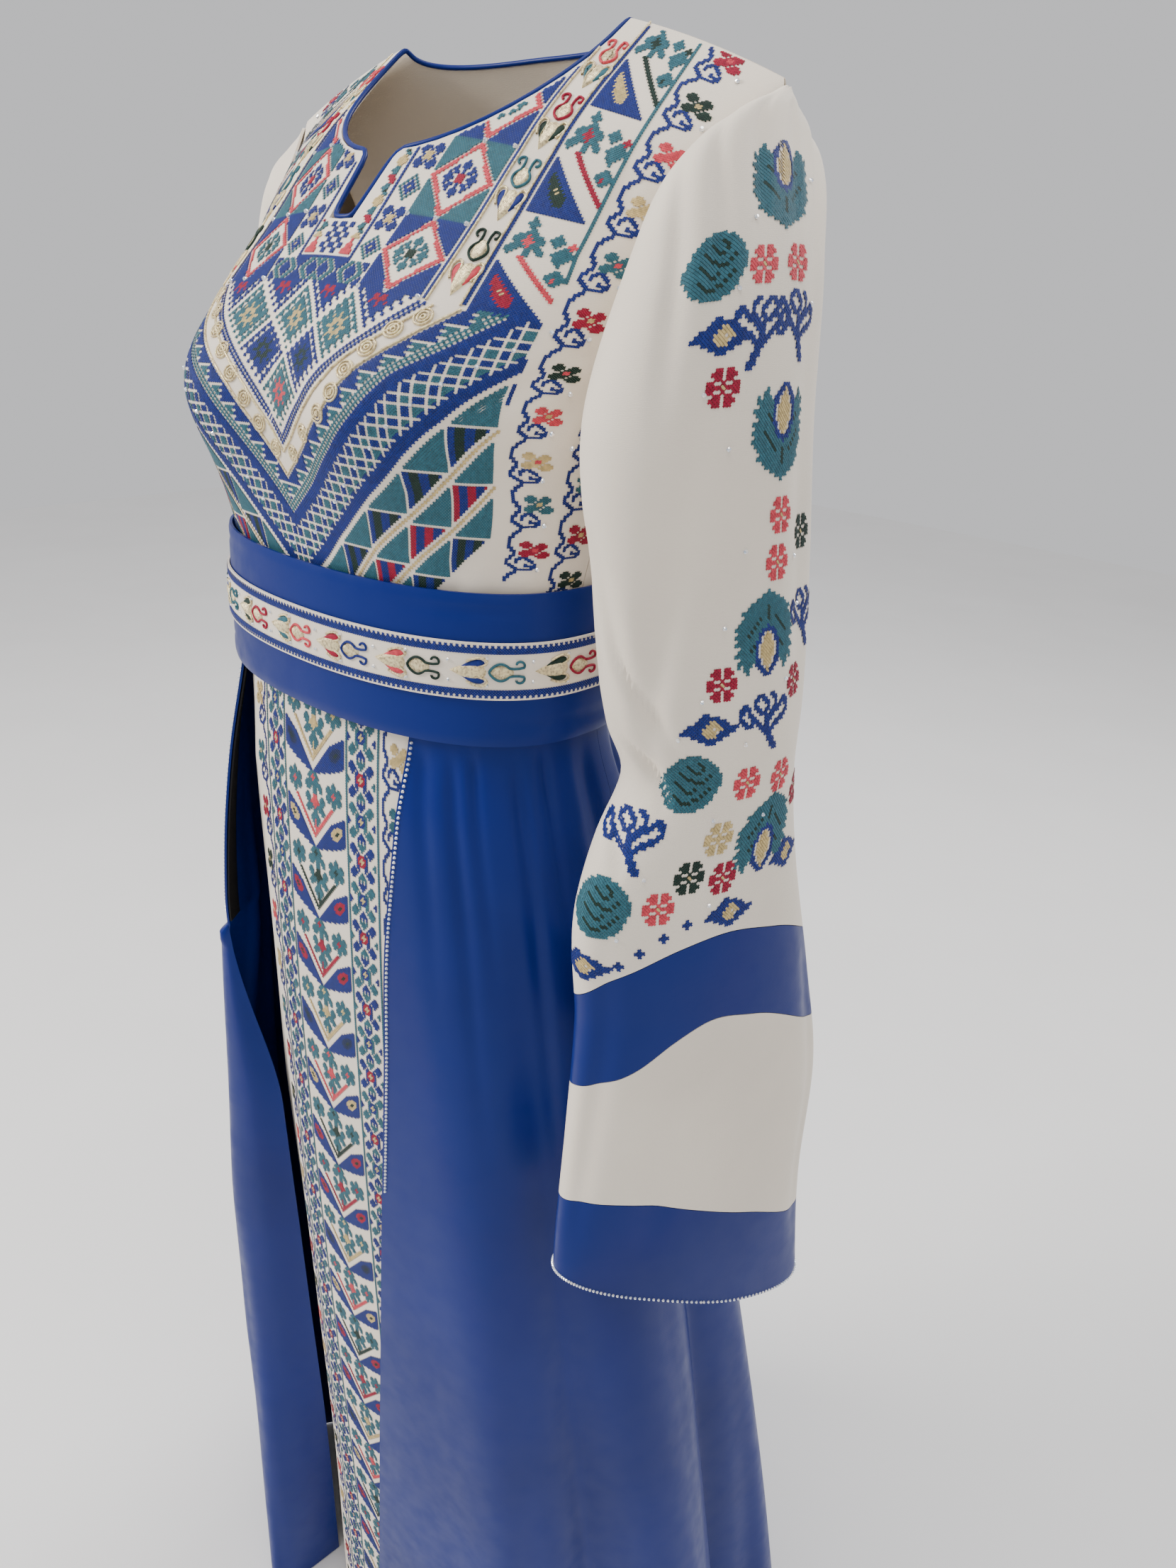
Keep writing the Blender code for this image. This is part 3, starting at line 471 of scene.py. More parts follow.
def solid_mesh(name, points, faces, mats, index=None, sharp=None):
    """Mesh object from arrays of points and of faces with equal sides."""
    points, faces = np.asarray(points, float), np.asarray(faces, np.int32)
    count, sides = faces.shape
    mesh = bpy.data.meshes.new(name)
    mesh.vertices.add(len(points))
    mesh.vertices.foreach_set("co", points.ravel())
    mesh.loops.add(count * sides)
    mesh.loops.foreach_set("vertex_index", faces.ravel())
    mesh.polygons.add(count)
    mesh.polygons.foreach_set("loop_start", np.arange(0, count * sides, sides))
    mesh.polygons.foreach_set("use_smooth", np.ones(count, bool))
    for mat in mats:
        mesh.materials.append(mat)
    if index is not None:
        mesh.polygons.foreach_set("material_index", np.asarray(index, np.int32))
    mesh.update(calc_edges=True)
    mesh.validate()
    if sharp:
        mesh.set_sharp_from_angle(angle=math.radians(sharp))
    obj = bpy.data.objects.new(name, mesh)
    bpy.context.scene.collection.objects.link(obj)
    return obj


def cloth_shell(name, middle, out, faces, mat, thickness=WALL):
    """Closed shell round a sheet of triangles."""
    faces = np.asarray(faces)
    side = np.cross(middle[faces[:, 1]] - middle[faces[:, 0]],
                    middle[faces[:, 2]] - middle[faces[:, 0]])
    if (side * out[faces[:, 0]]).sum() < 0:
        faces = faces[:, ::-1]
    count = len(middle)
    edges = np.concatenate([faces[:, [0, 1]], faces[:, [1, 2]], faces[:, [2, 0]]])
    key = edges[:, 0].astype(np.int64) * count + edges[:, 1]
    twin = edges[:, 1].astype(np.int64) * count + edges[:, 0]
    rim = edges[~np.isin(key, twin)]
    i, j = rim[:, 0], rim[:, 1]
    rims = np.concatenate([np.stack([j, i, i + count], 1),
                           np.stack([j, i + count, j + count], 1)])
    points = np.concatenate([middle + out * thickness / 2,
                             middle - out * thickness / 2])
    solid = np.concatenate([faces, faces[:, ::-1] + count, rims])
    return solid_mesh(name, points, solid, [mat], sharp=48)


def grid_faces(rows, cols, closed=False):
    """Triangles over a grid; closed joins the last column to the first."""
    r, c = np.meshgrid(np.arange(rows - 1),
                       np.arange(cols if closed else cols - 1), indexing="ij")
    d = (c + 1) % cols
    p, q = r * cols + c, r * cols + d
    s, t = (r + 1) * cols + d, (r + 1) * cols + c
    return np.concatenate([np.stack([p, q, s], -1).reshape(-1, 3),
                           np.stack([p, s, t], -1).reshape(-1, 3)])


def cloth_grid(name, middle, out, mat, closed=False, thickness=WALL):
    faces = grid_faces(*middle.shape[:2], closed)
    return cloth_shell(name, middle.reshape(-1, 3), out.reshape(-1, 3), faces,
                       mat, thickness)


def inside(points, outline):
    """True for the points that lie in the closed outline."""
    x, y = points[..., 0], points[..., 1]
    hit = np.zeros(x.shape, bool)
    for (x0, y0), (x1, y1) in zip(outline, outline[1:] + outline[:1]):
        if y0 != y1:
            cross = (x1 - x0) * (y - y0) / (y1 - y0) + x0
            hit ^= ((y0 > y) != (y1 > y)) & (x < cross)
    return hit


def edge_distance(points, outline):
    """Distance of the points to the nearest side of the outline."""
    best = np.full(points.shape[:-1], 1e9)
    for p, q in zip(outline, outline[1:] + outline[:1]):
        p, q = np.array(p), np.array(q)
        way = q - p
        t = np.clip(((points - p) @ way) / max(way @ way, 1e-12), 0, 1)
        away = np.linalg.norm(points - p - t[..., None] * way, axis=-1)
        best = np.minimum(best, away)
    return best


def spaced(outline, step):
    """The outline again with long sides divided."""
    points = []
    for p, q in zip(outline, outline[1:] + outline[:1]):
        n = max(1, int(round(np.hypot(q[0] - p[0], q[1] - p[1]) / step)))
        points += [(p[0] + (q[0] - p[0]) * k / n, p[1] + (q[1] - p[1]) * k / n)
                   for k in range(n)]
    return points


def cut_panel(outline, step):
    """Triangles over a flat outline."""
    edge = spaced(outline, step)
    x0, y0 = np.min(edge, axis=0)
    x1, y1 = np.max(edge, axis=0)
    r, c = np.meshgrid(np.arange(int((y1 - y0) / step) + 2),
                       np.arange(int((x1 - x0) / step) + 2), indexing="ij")
    grid = np.stack([x0 + (c + 0.5 * (r % 2)) * step,
                     y0 + (r + 0.4) * step], -1).reshape(-1, 2)
    grid = grid[inside(grid, edge)]
    grid = grid[edge_distance(grid, edge) > 0.55 * step]
    points = [Vector(p) for p in edge] + [Vector(p) for p in grid]
    found, _, faces, _, _, _ = delaunay_2d_cdt(
        points, [], [list(range(len(edge)))], 1, 1e-7)
    return (np.array([tuple(p) for p in found]),
            np.array([f for f in faces if len(f) == 3]))


ACROSS, ALONG = 0.165, 0.40     # metres of cloth per radian and per level


TIP_DROP = 0.0055         # how far the shoulder's point is rounded off


def body_cloth(a, h):
    """Bodice surface with its creases."""
    x, y = np.asarray(a) * ACROSS, np.asarray(h) * ALONG
    depth = troughs(x, y, BODICE_CREASES, both_sides=True)
    depth = depth + troughs(np.mod(x, 2 * np.pi * ACROSS), y, BACK_CREASES)
    turn = np.degrees(np.asarray(a)) % 360
    tip = np.minimum(abs(turn - 90), abs(turn - 270)) / 12
    drop = TIP_DROP * np.exp(-tip**2 - (np.asarray(h) / 0.035)**2)
    p = torso(a, h) - torso_normals(a, h) * depth[..., None]
    return p - drop[..., None] * np.array([0.0, 0.0, 1.0])


def torso_piece(name, outline, mat, shift=0.0, step=FINE, thickness=WALL):
    """Piece of the bodice; its outline is given as (angle, level) pairs."""
    flat = [(np.radians(a) * ACROSS, h * ALONG) for a, h in outline]
    points, faces = cut_panel(flat, step)
    a, h = points[:, 0] / ACROSS, points[:, 1] / ALONG
    n = torso_normals(a, h)
    return cloth_shell(name, body_cloth(a, h) + shift * n, n, faces, mat,
                       thickness)


def skirt_depth(a, z):
    """Depth of the small gathers and long soft folds of the skirt."""
    turn = np.degrees(a)
    depth = np.zeros(np.broadcast(a, z).shape)
    for angle, foot, width, deep in SKIRT_GATHERS:
        away = (turn - angle - 3 * (z + 0.4) + 180) % 360 - 180
        s = np.clip((-0.402 - z) / (-0.402 - foot), 0, 1)
        fade = ease(np.clip(s * 9, 0, 1)) * (1 - s) ** 1.2
        depth = depth + deep * fade * np.exp(-(away / width) ** 2)
    for angle, top, foot, width, deep in SKIRT_RUNS:
        away = (turn - angle - 2.2 * np.sin(5 * z + angle) + 180) % 360 - 180
        s = np.clip((top - z) / (top - foot), 0, 1)
        depth = depth + deep * ease(s) * np.exp(-(away / width) ** 2)
    return depth


def sleeve_cloth(theta, t, side=1):
    """Sleeve surface with its creases."""
    depth = np.zeros(np.broadcast(theta, t).shape)
    for a0, t0, a1, t1, width, deep in SLEEVE_CREASES:
        s = np.clip((t - t0) / (t1 - t0), 0, 1)
        if abs(t1 - t0) < 0.12:
            s = np.clip(((theta - a0 + 180) % 360 - 180) / (a1 - a0), 0, 1)
            away = (t - (t0 + (t1 - t0) * s)) / 0.012
        else:
            away = ((theta - (a0 + (a1 - a0) * s) + 180) % 360 - 180) / width
        fade = np.sin(np.pi * s) ** 0.8
        depth = depth + deep * fade * np.exp(-away ** 2)
    depth = depth * ease((np.asarray(t) - 0.012) / 0.035)
    n = sleeve_outward(theta, t, side)
    turn = (np.asarray(theta) + 180) % 360 - 180
    drop = TIP_DROP * np.exp(-(turn / 18)**2 - (np.asarray(t) / 0.035)**2)
    return (sleeve(theta, t, side) - n * depth[..., None]
            - drop[..., None] * np.array([0.0, 0.0, 1.0]))


def sleeve_normals(theta, t, side=1):
    theta, t = np.broadcast_arrays(np.asarray(theta, float),
                                   np.asarray(t, float))
    d = 1e-3
    du = sleeve(theta + 0.5, t, side) - sleeve(theta - 0.5, t, side)
    dv = sleeve(theta, t + d, side) - sleeve(theta, np.maximum(t - d, 0), side)
    n = np.cross(dv, du) * side
    n = n / np.maximum(np.linalg.norm(n, axis=-1, keepdims=True), 1e-12)
    return n


def sash(angle, z):
    """Belt surface."""
    angle, z = np.broadcast_arrays(angle, z)
    half_w, front, back, side = [
        column(BELT, k, z, sign=-1.0) for k in range(1, 5)]
    x, y = oval(angle, half_w, front, back, side)
    return np.stack([x, y, z], -1)


def sash_normals(angle, z):
    n = normals(sash, angle, z)
    facing = n[..., 0] * np.sin(angle) - n[..., 1] * np.cos(angle)
    return n * np.sign(facing)[..., None]


def unroll(surface, us, vs, start=0.0):
    """Tables that turn distances on flat cloth into surface coordinates."""
    p = surface(us[None] + 0 * vs[:, None], vs[:, None] + 0 * us[None])
    step = np.linalg.norm(np.diff(p, axis=1), axis=-1)
    along = np.concatenate([np.zeros((len(vs), 1)), np.cumsum(step, 1)], 1)
    k = int(np.argmin(abs(us - start)))
    along = along - along[:, k:k + 1]
    down = np.concatenate([[0], np.cumsum(
        np.linalg.norm(np.diff(p[:, k], axis=0), axis=-1))])
    xs = np.arange(-0.45, 0.451, 0.002)
    turn = np.stack([np.interp(xs, row, us) for row in along])
    return {"xs": xs, "turn": turn, "down": down, "vs": vs}


def locate(flat, x, y):
    """Surface coordinates of points given in metres on the flat cloth."""
    xs, turn, down = flat["xs"], flat["turn"], flat["down"]
    r = np.interp(y, down, np.arange(len(down)))
    c = np.clip((x - xs[0]) / (xs[1] - xs[0]), 0, len(xs) - 1.001)
    i, j = np.minimum(r.astype(int), len(down) - 2), c.astype(int)
    f, g = r - i, c - j
    u = ((turn[i, j] * (1 - g) + turn[i, j + 1] * g) * (1 - f)
         + (turn[i + 1, j] * (1 - g) + turn[i + 1, j + 1] * g) * f)
    return u, np.interp(y, down, flat["vs"])


def neck_angle(x, h, back=False):
    """Angle of the bodice point at distance x from the middle."""
    half_w = float(column(TORSO, 3, h))
    a = np.degrees(np.arcsin(min(1.0, (abs(x) / half_w)**(1 / 0.92))))
    a = 180 - a if back else a
    return a if x >= 0 else -a


def neck_curve(back=False, grow=0.0, count=11):
    """Neckline from the wearer's left shoulder to the right one."""
    half = NECK_HALF_WIDTH + grow
    low = NECK_BACK_LEVEL if back else NECK_FRONT_LEVEL
    low = low - grow * 2.6
    curve = []
    for p in np.linspace(90, -90, 2 * count + 1):
        x = half * np.sin(np.radians(p))
        h = 1 - (1 - low) * np.cos(np.radians(p))
        curve.append((x, min(h, 1.0)))
    return curve


def front_neck(grow=0.0):
    """Front neckline with its squared notch, as (angle, level) pairs."""
    curve = neck_curve(grow=grow)
    top = NECK_FRONT_LEVEL - grow * 2.6
    low = NOTCH_LEVEL - grow * 2.6
    wide = NOTCH_TOP_HALF + grow * 0.8
    foot = NOTCH_LOW_HALF + grow * 0.8
    left = [c for c in curve if c[0] > wide + 0.004]
    right = [c for c in curve if c[0] < -wide - 0.004]
    notch = [(wide, top + 0.004), ((wide + foot) / 2, (top + low) / 2),
             (foot, low), (0.0, low - 0.002), (-foot, low),
             (-(wide + foot) / 2, (top + low) / 2), (-wide, top + 0.004)]
    return [(neck_angle(x, h), h) for x, h in left + notch + right]


def armhole_side(k, side):
    """Armhole edge from the shoulder down; k 1 in front, 2 behind."""
    turns = np.radians(np.arange(18, 180, 18.0))
    levels = 0.75 + 0.25 * np.cos(turns)
    return [(side * float(column(ARMHOLE, k, h)), float(h)) for h in levels]


def skirt_normals(a, z):
    """Normals of the skirt, always away from the wearer."""
    n = normals(skirt, a, z)
    facing = n[..., 0] * np.sin(a) - n[..., 1] * np.cos(a)
    return n * np.sign(facing)[..., None]


def over_layer(z):
    """How far the overskirt stands off, nothing where the belt holds it."""
    return OVER_LAYER * ease((-0.404 - z) / 0.06)


def flap_line(z):
    """Plan curve of the right flap at one height, front edge to side seam."""
    ridge = np.array([column(RIGHT_RIDGE, 1, z, sign=-1.0),
                      column(RIGHT_RIDGE, 2, z, sign=-1.0), z])
    stand = float(over_layer(z))

    def on_skirt(angle):
        a, level = np.array([angle]), np.array([z])
        return (skirt(a, level) + skirt_normals(a, level) * stand)[0]

    roll = float(ease((ROLL_START - z) / ROLL_LENGTH))
    lap = on_skirt(np.radians(column(PANEL_EDGE, 1, z, sign=-1.0)))
    first = ridge + (lap - ridge) * roll
    second = ridge + 0.5 * (lap - ridge) * roll
    second = second + np.array([0.0, -0.008, 0.0]) * roll
    knots = [first, second, ridge]
    knots += [on_skirt(-np.radians(a)) for a in (58, 70, 82, 92)]
    knots += [on_skirt(-np.radians(SIDE_SEAM - 0.1))]
    knots = np.array(knots)
    step = np.linalg.norm(np.diff(knots, axis=0), axis=1)
    keep = np.concatenate([[True], step > 0.0015])
    if not keep[1]:
        keep[0] = True
    knots = knots[keep]
    along = np.concatenate([[0], np.cumsum(
        np.linalg.norm(np.diff(knots, axis=0), axis=1))])
    t = np.linspace(0, along[-1], 80)
    return np.stack([through(t, along, knots[:, k]) for k in range(3)], -1)


def right_flap(u, z):
    """Right flap from its front edge (u 0) to the side seam (u 1)."""
    u, z = np.broadcast_arrays(np.asarray(u, float), np.asarray(z, float))
    points = np.zeros(u.shape + (3,))
    for i in range(u.shape[0]):
        line = flap_line(float(z[i, 0]))
        along = np.concatenate([[0], np.cumsum(
            np.linalg.norm(np.diff(line, axis=0), axis=1))])
        at = np.clip(u[i], 0, 1) * along[-1]
        for k in range(3):
            points[i, :, k] = np.interp(at, along, line[:, k])
    return points


def flap_normals(u, z):
    d = 0.02
    du = right_flap(u + d, z) - right_flap(u - d, z)
    dv = right_flap(u, z - 1e-3) - right_flap(u, z + 1e-3)
    n = np.cross(du, dv)
    return n / np.linalg.norm(n, axis=-1, keepdims=True)


def new_material(name, colour, roughness, **sockets):
    """Principled material and its nodes, ready for more detail."""
    mat = bpy.data.materials.new(name)
    mat.use_nodes = True
    nodes, links = mat.node_tree.nodes, mat.node_tree.links
    shader = nodes["Principled BSDF"]
    shader.inputs["Base Color"].default_value = (*colour, 1.0)
    shader.inputs["Roughness"].default_value = roughness
    for key, value in sockets.items():
        shader.inputs[key.replace("_", " ")].default_value = value
    coords = nodes.new("ShaderNodeTexCoord")
    return mat, nodes, links, shader, coords.outputs["Object"]


def noise(nodes, links, where, scale, detail=2.0, roughness=0.5, warp=0.0):
    tex = nodes.new("ShaderNodeTexNoise")
    tex.inputs["Scale"].default_value = scale
    tex.inputs["Detail"].default_value = detail
    tex.inputs["Roughness"].default_value = roughness
    tex.inputs["Distortion"].default_value = warp
    links.new(where, tex.inputs["Vector"])
    return tex.outputs["Fac"]


def waves(nodes, links, where, scale, direction, warp=2.0):
    tex = nodes.new("ShaderNodeTexWave")
    tex.bands_direction = direction
    tex.inputs["Scale"].default_value = scale
    tex.inputs["Distortion"].default_value = warp
    tex.inputs["Detail"].default_value = 1.0
    links.new(where, tex.inputs["Vector"])
    return tex.outputs["Fac"]


def ramp(nodes, links, fac, stops):
    node = nodes.new("ShaderNodeValToRGB")
    marks = node.color_ramp.elements
    marks[0].position, marks[0].color = stops[0][0], (*stops[0][1], 1)
    marks[1].position, marks[1].color = stops[-1][0], (*stops[-1][1], 1)
    for place, colour in stops[1:-1]:
        mark = marks.new(place)
        mark.color = (*colour, 1)
    links.new(fac, node.inputs["Fac"])
    return node.outputs["Color"]


def relief(nodes, links, shader, heights):
    """Chain of bumps: height output, strength, distance in metres."""
    last = None
    for height, strength, distance in heights:
        bump = nodes.new("ShaderNodeBump")
        bump.inputs["Strength"].default_value = strength
        bump.inputs["Distance"].default_value = distance
        links.new(height, bump.inputs["Height"])
        if last:
            links.new(last, bump.inputs["Normal"])
        last = bump.outputs["Normal"]
    links.new(last, shader.inputs["Normal"])


def shade(colour, k):
    return tuple(min(1.0, c * k) for c in colour)


def crepe_material(colour):
    mat, nodes, links, shader, where = new_material(
        "cream_crepe_cloth", colour, 0.75, Sheen_Weight=0.08,
        Sheen_Roughness=0.5)
    mottled = noise(nodes, links, where, 9.0, 3.0)
    links.new(ramp(nodes, links, mottled, [
        (0.30, shade(colour, 0.93)), (0.55, colour),
        (0.78, shade(colour, 1.05))]), shader.inputs["Base Color"])
    grain = noise(nodes, links, where, 1700.0, 3.0, 0.65)
    ribs = waves(nodes, links, where, 330.0, "Z", 7.0)
    relief(nodes, links, shader, [(grain, 0.30, 0.0004), (ribs, 0.10, 0.0003)])
    return mat


def satin_material(colour):
    mat, nodes, links, shader, where = new_material(
        "blue_satin_cloth", colour, 0.36, Specular_IOR_Level=0.20)
    mottled = noise(nodes, links, where, 5.0, 3.0)
    links.new(ramp(nodes, links, mottled, [
        (0.30, shade(colour, 0.86)), (0.52, colour),
        (0.80, shade(colour, 1.16))]), shader.inputs["Base Color"])
    gloss = noise(nodes, links, where, 60.0, 2.0)
    links.new(ramp(nodes, links, gloss, [
        (0.3, (0.31, 0.31, 0.31)), (0.7, (0.43, 0.43, 0.43))]),
        shader.inputs["Roughness"])
    twill = waves(nodes, links, where, 620.0, "DIAGONAL", 1.0)
    slub = noise(nodes, links, where, 420.0, 2.0)
    relief(nodes, links, shader, [(twill, 0.10, 0.0002), (slub, 0.06, 0.0004)])
    return mat


# Near-black cloth for the sheet inside the right flap: its colour is painted shade,
# standing for the flap's inside in shadow.
def painted_shade_material(colour):
    mat, nodes, links, shader, where = new_material(
        "painted_shade_cloth", colour, 0.70, Specular_IOR_Level=0.20)
    mottled = noise(nodes, links, where, 14.0, 3.0)
    links.new(ramp(nodes, links, mottled, [
        (0.3, shade(colour, 0.7)), (0.7, shade(colour, 1.5))]),
        shader.inputs["Base Color"])
    weave = waves(nodes, links, where, 520.0, "DIAGONAL", 1.5)
    relief(nodes, links, shader, [(weave, 0.25, 0.0003)])
    return mat


def thread_material(name, colour):
    """Stranded embroidery cotton."""
    mat, nodes, links, shader, where = new_material(
        name, colour, 0.60, Specular_IOR_Level=0.25)
    uneven = noise(nodes, links, where, 420.0, 2.0)
    links.new(ramp(nodes, links, uneven, [
        (0.30, shade(colour, 0.72)), (0.55, colour),
        (0.80, shade(colour, 1.30))]), shader.inputs["Base Color"])
    strands = waves(nodes, links, where, 900.0, "DIAGONAL", 3.0)
    relief(nodes, links, shader, [(strands, 0.35, 0.0003)])
    return mat


def metal_thread_material(colour):
    """Couched gold cord."""
    mat, nodes, links, shader, where = new_material(
        "gold_thread", colour, 0.38, Metallic=0.45)
    uneven = noise(nodes, links, where, 650.0, 2.0)
    links.new(ramp(nodes, links, uneven, [
        (0.30, shade(colour, 0.45)), (0.52, colour),
        (0.78, shade(colour, 1.35))]), shader.inputs["Base Color"])
    twist = waves(nodes, links, where, 560.0, "DIAGONAL", 2.0)
    grain = noise(nodes, links, where, 1300.0, 2.0)
    relief(nodes, links, shader, [(twist, 0.6, 0.0005), (grain, 0.3, 0.0003)])
    return mat


def crystal_material():
    mat, nodes, links, shader, where = new_material(
        "cut_crystal", (0.86, 0.90, 0.95), 0.06, Metallic=0.55,
        Coat_Weight=1.0, Coat_Roughness=0.03)
    tone = noise(nodes, links, where, 900.0, 1.0)
    links.new(ramp(nodes, links, tone, [
        (0.35, (0.55, 0.66, 0.80)), (0.50, (0.92, 0.94, 0.97)),
        (0.68, (0.98, 0.86, 0.74))]), shader.inputs["Base Color"])
    return mat


def finish_cloth(obj, nodes):
    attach(obj, "root")
    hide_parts(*nodes)
    return obj


def extra(obj):
    """Trimming that rides with the dress."""
    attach(obj, "root")
    return obj


def material(name):
    """Finish by name, made the first time it is asked for."""
    found = bpy.data.materials.get(name)
    if found:
        return found
    if name == "cut_crystal":
        return crystal_material()
    look = bpy.context.scene.dress_colours
    if name in CLOTHS:
        colour, make = CLOTHS[name]
        return make(tuple(getattr(look, colour)))
    return thread_material(name, tuple(getattr(look, name)))


CLOTHS = {
    "cream_crepe_cloth": ("cream", crepe_material),
    "blue_satin_cloth": ("blue", satin_material),
    # The near-black facing cloth is painted shade for the inside of the right flap.
    "painted_shade_cloth": ("black", painted_shade_material),
    "gold_thread": ("gold", metal_thread_material),
}
THREAD_ORDER = ["blue_thread", "teal_thread", "coral_thread", "crimson_thread",
                "green_thread", "straw_thread", "navy_thread"]


def bodice_outlines():
    """Outlines of the bodice front and back as (angle, level) pairs."""
    gap = np.degrees(SEAM / 2 / 0.16)
    top = 1 - 0.0007
    tip = neck_angle(0.2015, 1.0)
    front = [(-90 + gap, 0.0), (0, 0.0), (90 - gap, 0.0), (90 - gap, 0.500)]
    front += armhole_side(1, 1)[::-1]
    front += [(tip, top)] + [(a, min(h, top)) for a, h in front_neck()]
    front += [(-tip, top)] + armhole_side(1, -1) + [(-90 + gap, 0.500)]
    back_neck = [(neck_angle(x, h, True) % 360, min(h, top))
                 for x, h in neck_curve(back=True, count=7)]
    back = [(270 - gap, 0.0), (180, 0.0), (90 + gap, 0.0), (90 + gap, 0.500)]
    back += armhole_side(2, 1)[::-1]
    back += [(180 - tip, top)] + back_neck + [(180 + tip, top)]
    back += [(360 + a, h) for a, h in armhole_side(2, -1)]
    back += [(270 - gap, 0.500)]
    return front, back, back_neck


def make_bodice():
    cream = material("cream_crepe_cloth")
    front, back, back_neck = bodice_outlines()
    piece = torso_piece("bodice_front_cloth", front, cream)
    finish_cloth(piece, ["bodice_front"])
    piece = torso_piece("bodice_back_cloth", back, cream)
    finish_cloth(piece, ["bodice_back"])
    rim = [(a, min(h, 1 - 0.006)) for a, h in front_neck(grow=0.0012)]
    wide = [(a, min(h, 1 - 0.006)) for a, h in front_neck(FACING_DEPTH)]
    left = [w for w in wide if w[0] > 8]
    right = [w for w in wide if w[0] < -8]
    foot = [(7.0, NOTCH_LEVEL - 0.055), (-7.0, NOTCH_LEVEL - 0.055)]
    piece = torso_piece("neck_facing_cloth", rim + (left + foot + right)[::-1],
                        cream, shift=-0.0024, step=0.005, thickness=0.0012)
    finish_cloth(piece, ["neck_facing"])
    loop = front_neck() + [(a, h) for a, h in reversed(back_neck)]
    piece = neck_cord("neck_piping_cord", loop, material("blue_satin_cloth"))
    extra(piece)
    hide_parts("neck_piping")


def neck_cord(name, loop, mat):
    """Round satin cord along the neck edge."""
    a = np.radians([p[0] for p in loop])
    h = np.array([p[1] for p in loop])
    edge = torso(a, np.clip(h, 0, 1))
    out = torso_normals(a, np.clip(h, 0, 0.9999))
    keep = [0]
    for k in range(1, len(edge)):
        if np.linalg.norm(edge[k] - edge[keep[-1]]) > 0.003:
            keep.append(k)
    edge, out = edge[keep], out[keep]
    edge, out = smooth_loop(edge), smooth_loop(out)
    ahead = unit(np.roll(edge, -1, 0) - np.roll(edge, 1, 0))
    open_way = unit(np.cross(out, ahead))
    if ((edge.mean(0) - edge) * open_way).sum() < 0:
        open_way = -open_way
    centre = edge + open_way * (PIPING_RADIUS + SEAM)
    out = np.cross(ahead, open_way)
    sides = 12
    turn = 2 * np.pi * np.arange(sides) / sides
    way = (np.cos(turn)[None, :, None] * open_way[:, None]
           + np.sin(turn)[None, :, None] * out[:, None])
    points = centre[:, None] + PIPING_RADIUS * way
    rows = len(points)
    r, c = np.meshgrid(np.arange(rows), np.arange(sides), indexing="ij")
    s, d = (r + 1) % rows, (c + 1) % sides
    faces = np.stack([r * sides + c, r * sides + d, s * sides + d,
                      s * sides + c], -1).reshape(-1, 4)
    return facing_out(solid_mesh(name, points.reshape(-1, 3), faces, [mat]))


def facing_out(obj):
    """Turn the faces over when the closed mesh is inside out."""
    mesh = obj.data
    mesh.calc_loop_triangles()
    co = np.zeros(len(mesh.vertices) * 3)
    mesh.vertices.foreach_get("co", co)
    co = co.reshape(-1, 3)
    tri = np.zeros(len(mesh.loop_triangles) * 3, np.int32)
    mesh.loop_triangles.foreach_get("vertices", tri)
    p, q, r = (co[tri.reshape(-1, 3)[:, k]] for k in range(3))
    if np.einsum("ij,ij->", p, np.cross(q, r)) < 0:
        mesh.flip_normals()
    return obj


def smooth_loop(points):
    """More points on a closed line, with its corners eased."""
    fine = []
    for p, q in zip(points, np.roll(points, -1, 0)):
        fine += [p, p + (q - p) / 3, p + (q - p) * 2 / 3]
    fine = np.array(fine)
    for _ in range(2):
        fine = (np.roll(fine, 1, 0) + 2 * fine + np.roll(fine, -1, 0)) / 4
    return fine


def make_sleeve(side):
    """Upper sleeve, shaped band, lower panel and cuff of one arm."""
    word = "left" if side > 0 else "right"
    theta = np.arange(0, 360, 3.0)
    gap = 0.00035
    parts = [
        ("upper", 0 * theta, around(BAND_TOP, theta) - gap, 96, "cream",
         (0.46, 0.52), 0.155),
        ("band", around(BAND_TOP, theta) + gap, around(BAND_FOOT, theta) - gap,
         20, "blue", (0.40, 0.16), 0.026),
        ("panel", around(BAND_FOOT, theta) + gap,
         around(CUFF_TOP, theta) - gap, 36, "cream", (0.44, 0.24), 0.066),
        ("cuff", around(CUFF_TOP, theta) + gap, around(CUFF_END, theta), 18,
         "blue", (0.44, 0.16), 0.030),
    ]
    for part, start, end, rows, colour, flat, area in parts:
        f = np.linspace(0, 1, rows)[:, None]
        t = start[None] * (1 - f) + end[None] * f
        ring = np.broadcast_to(theta, t.shape)
        middle = sleeve_cloth(ring, t, side)
        n = sleeve_normals(ring, t, side)
        if ((middle - middle.mean(1, keepdims=True)) * n).sum() < 0:
            n = -n
        cloth, slot = (("cream_crepe_cloth", "cream_crepe") if colour == "cream"
                       else ("blue_satin_cloth", "blue_satin"))
        piece = cloth_grid("sleeve_%s_%s_cloth" % (word, part), middle, n,
                           material(cloth), closed=True)
        finish_cloth(piece, ["sleeve_%s_%s" % (word, part)])


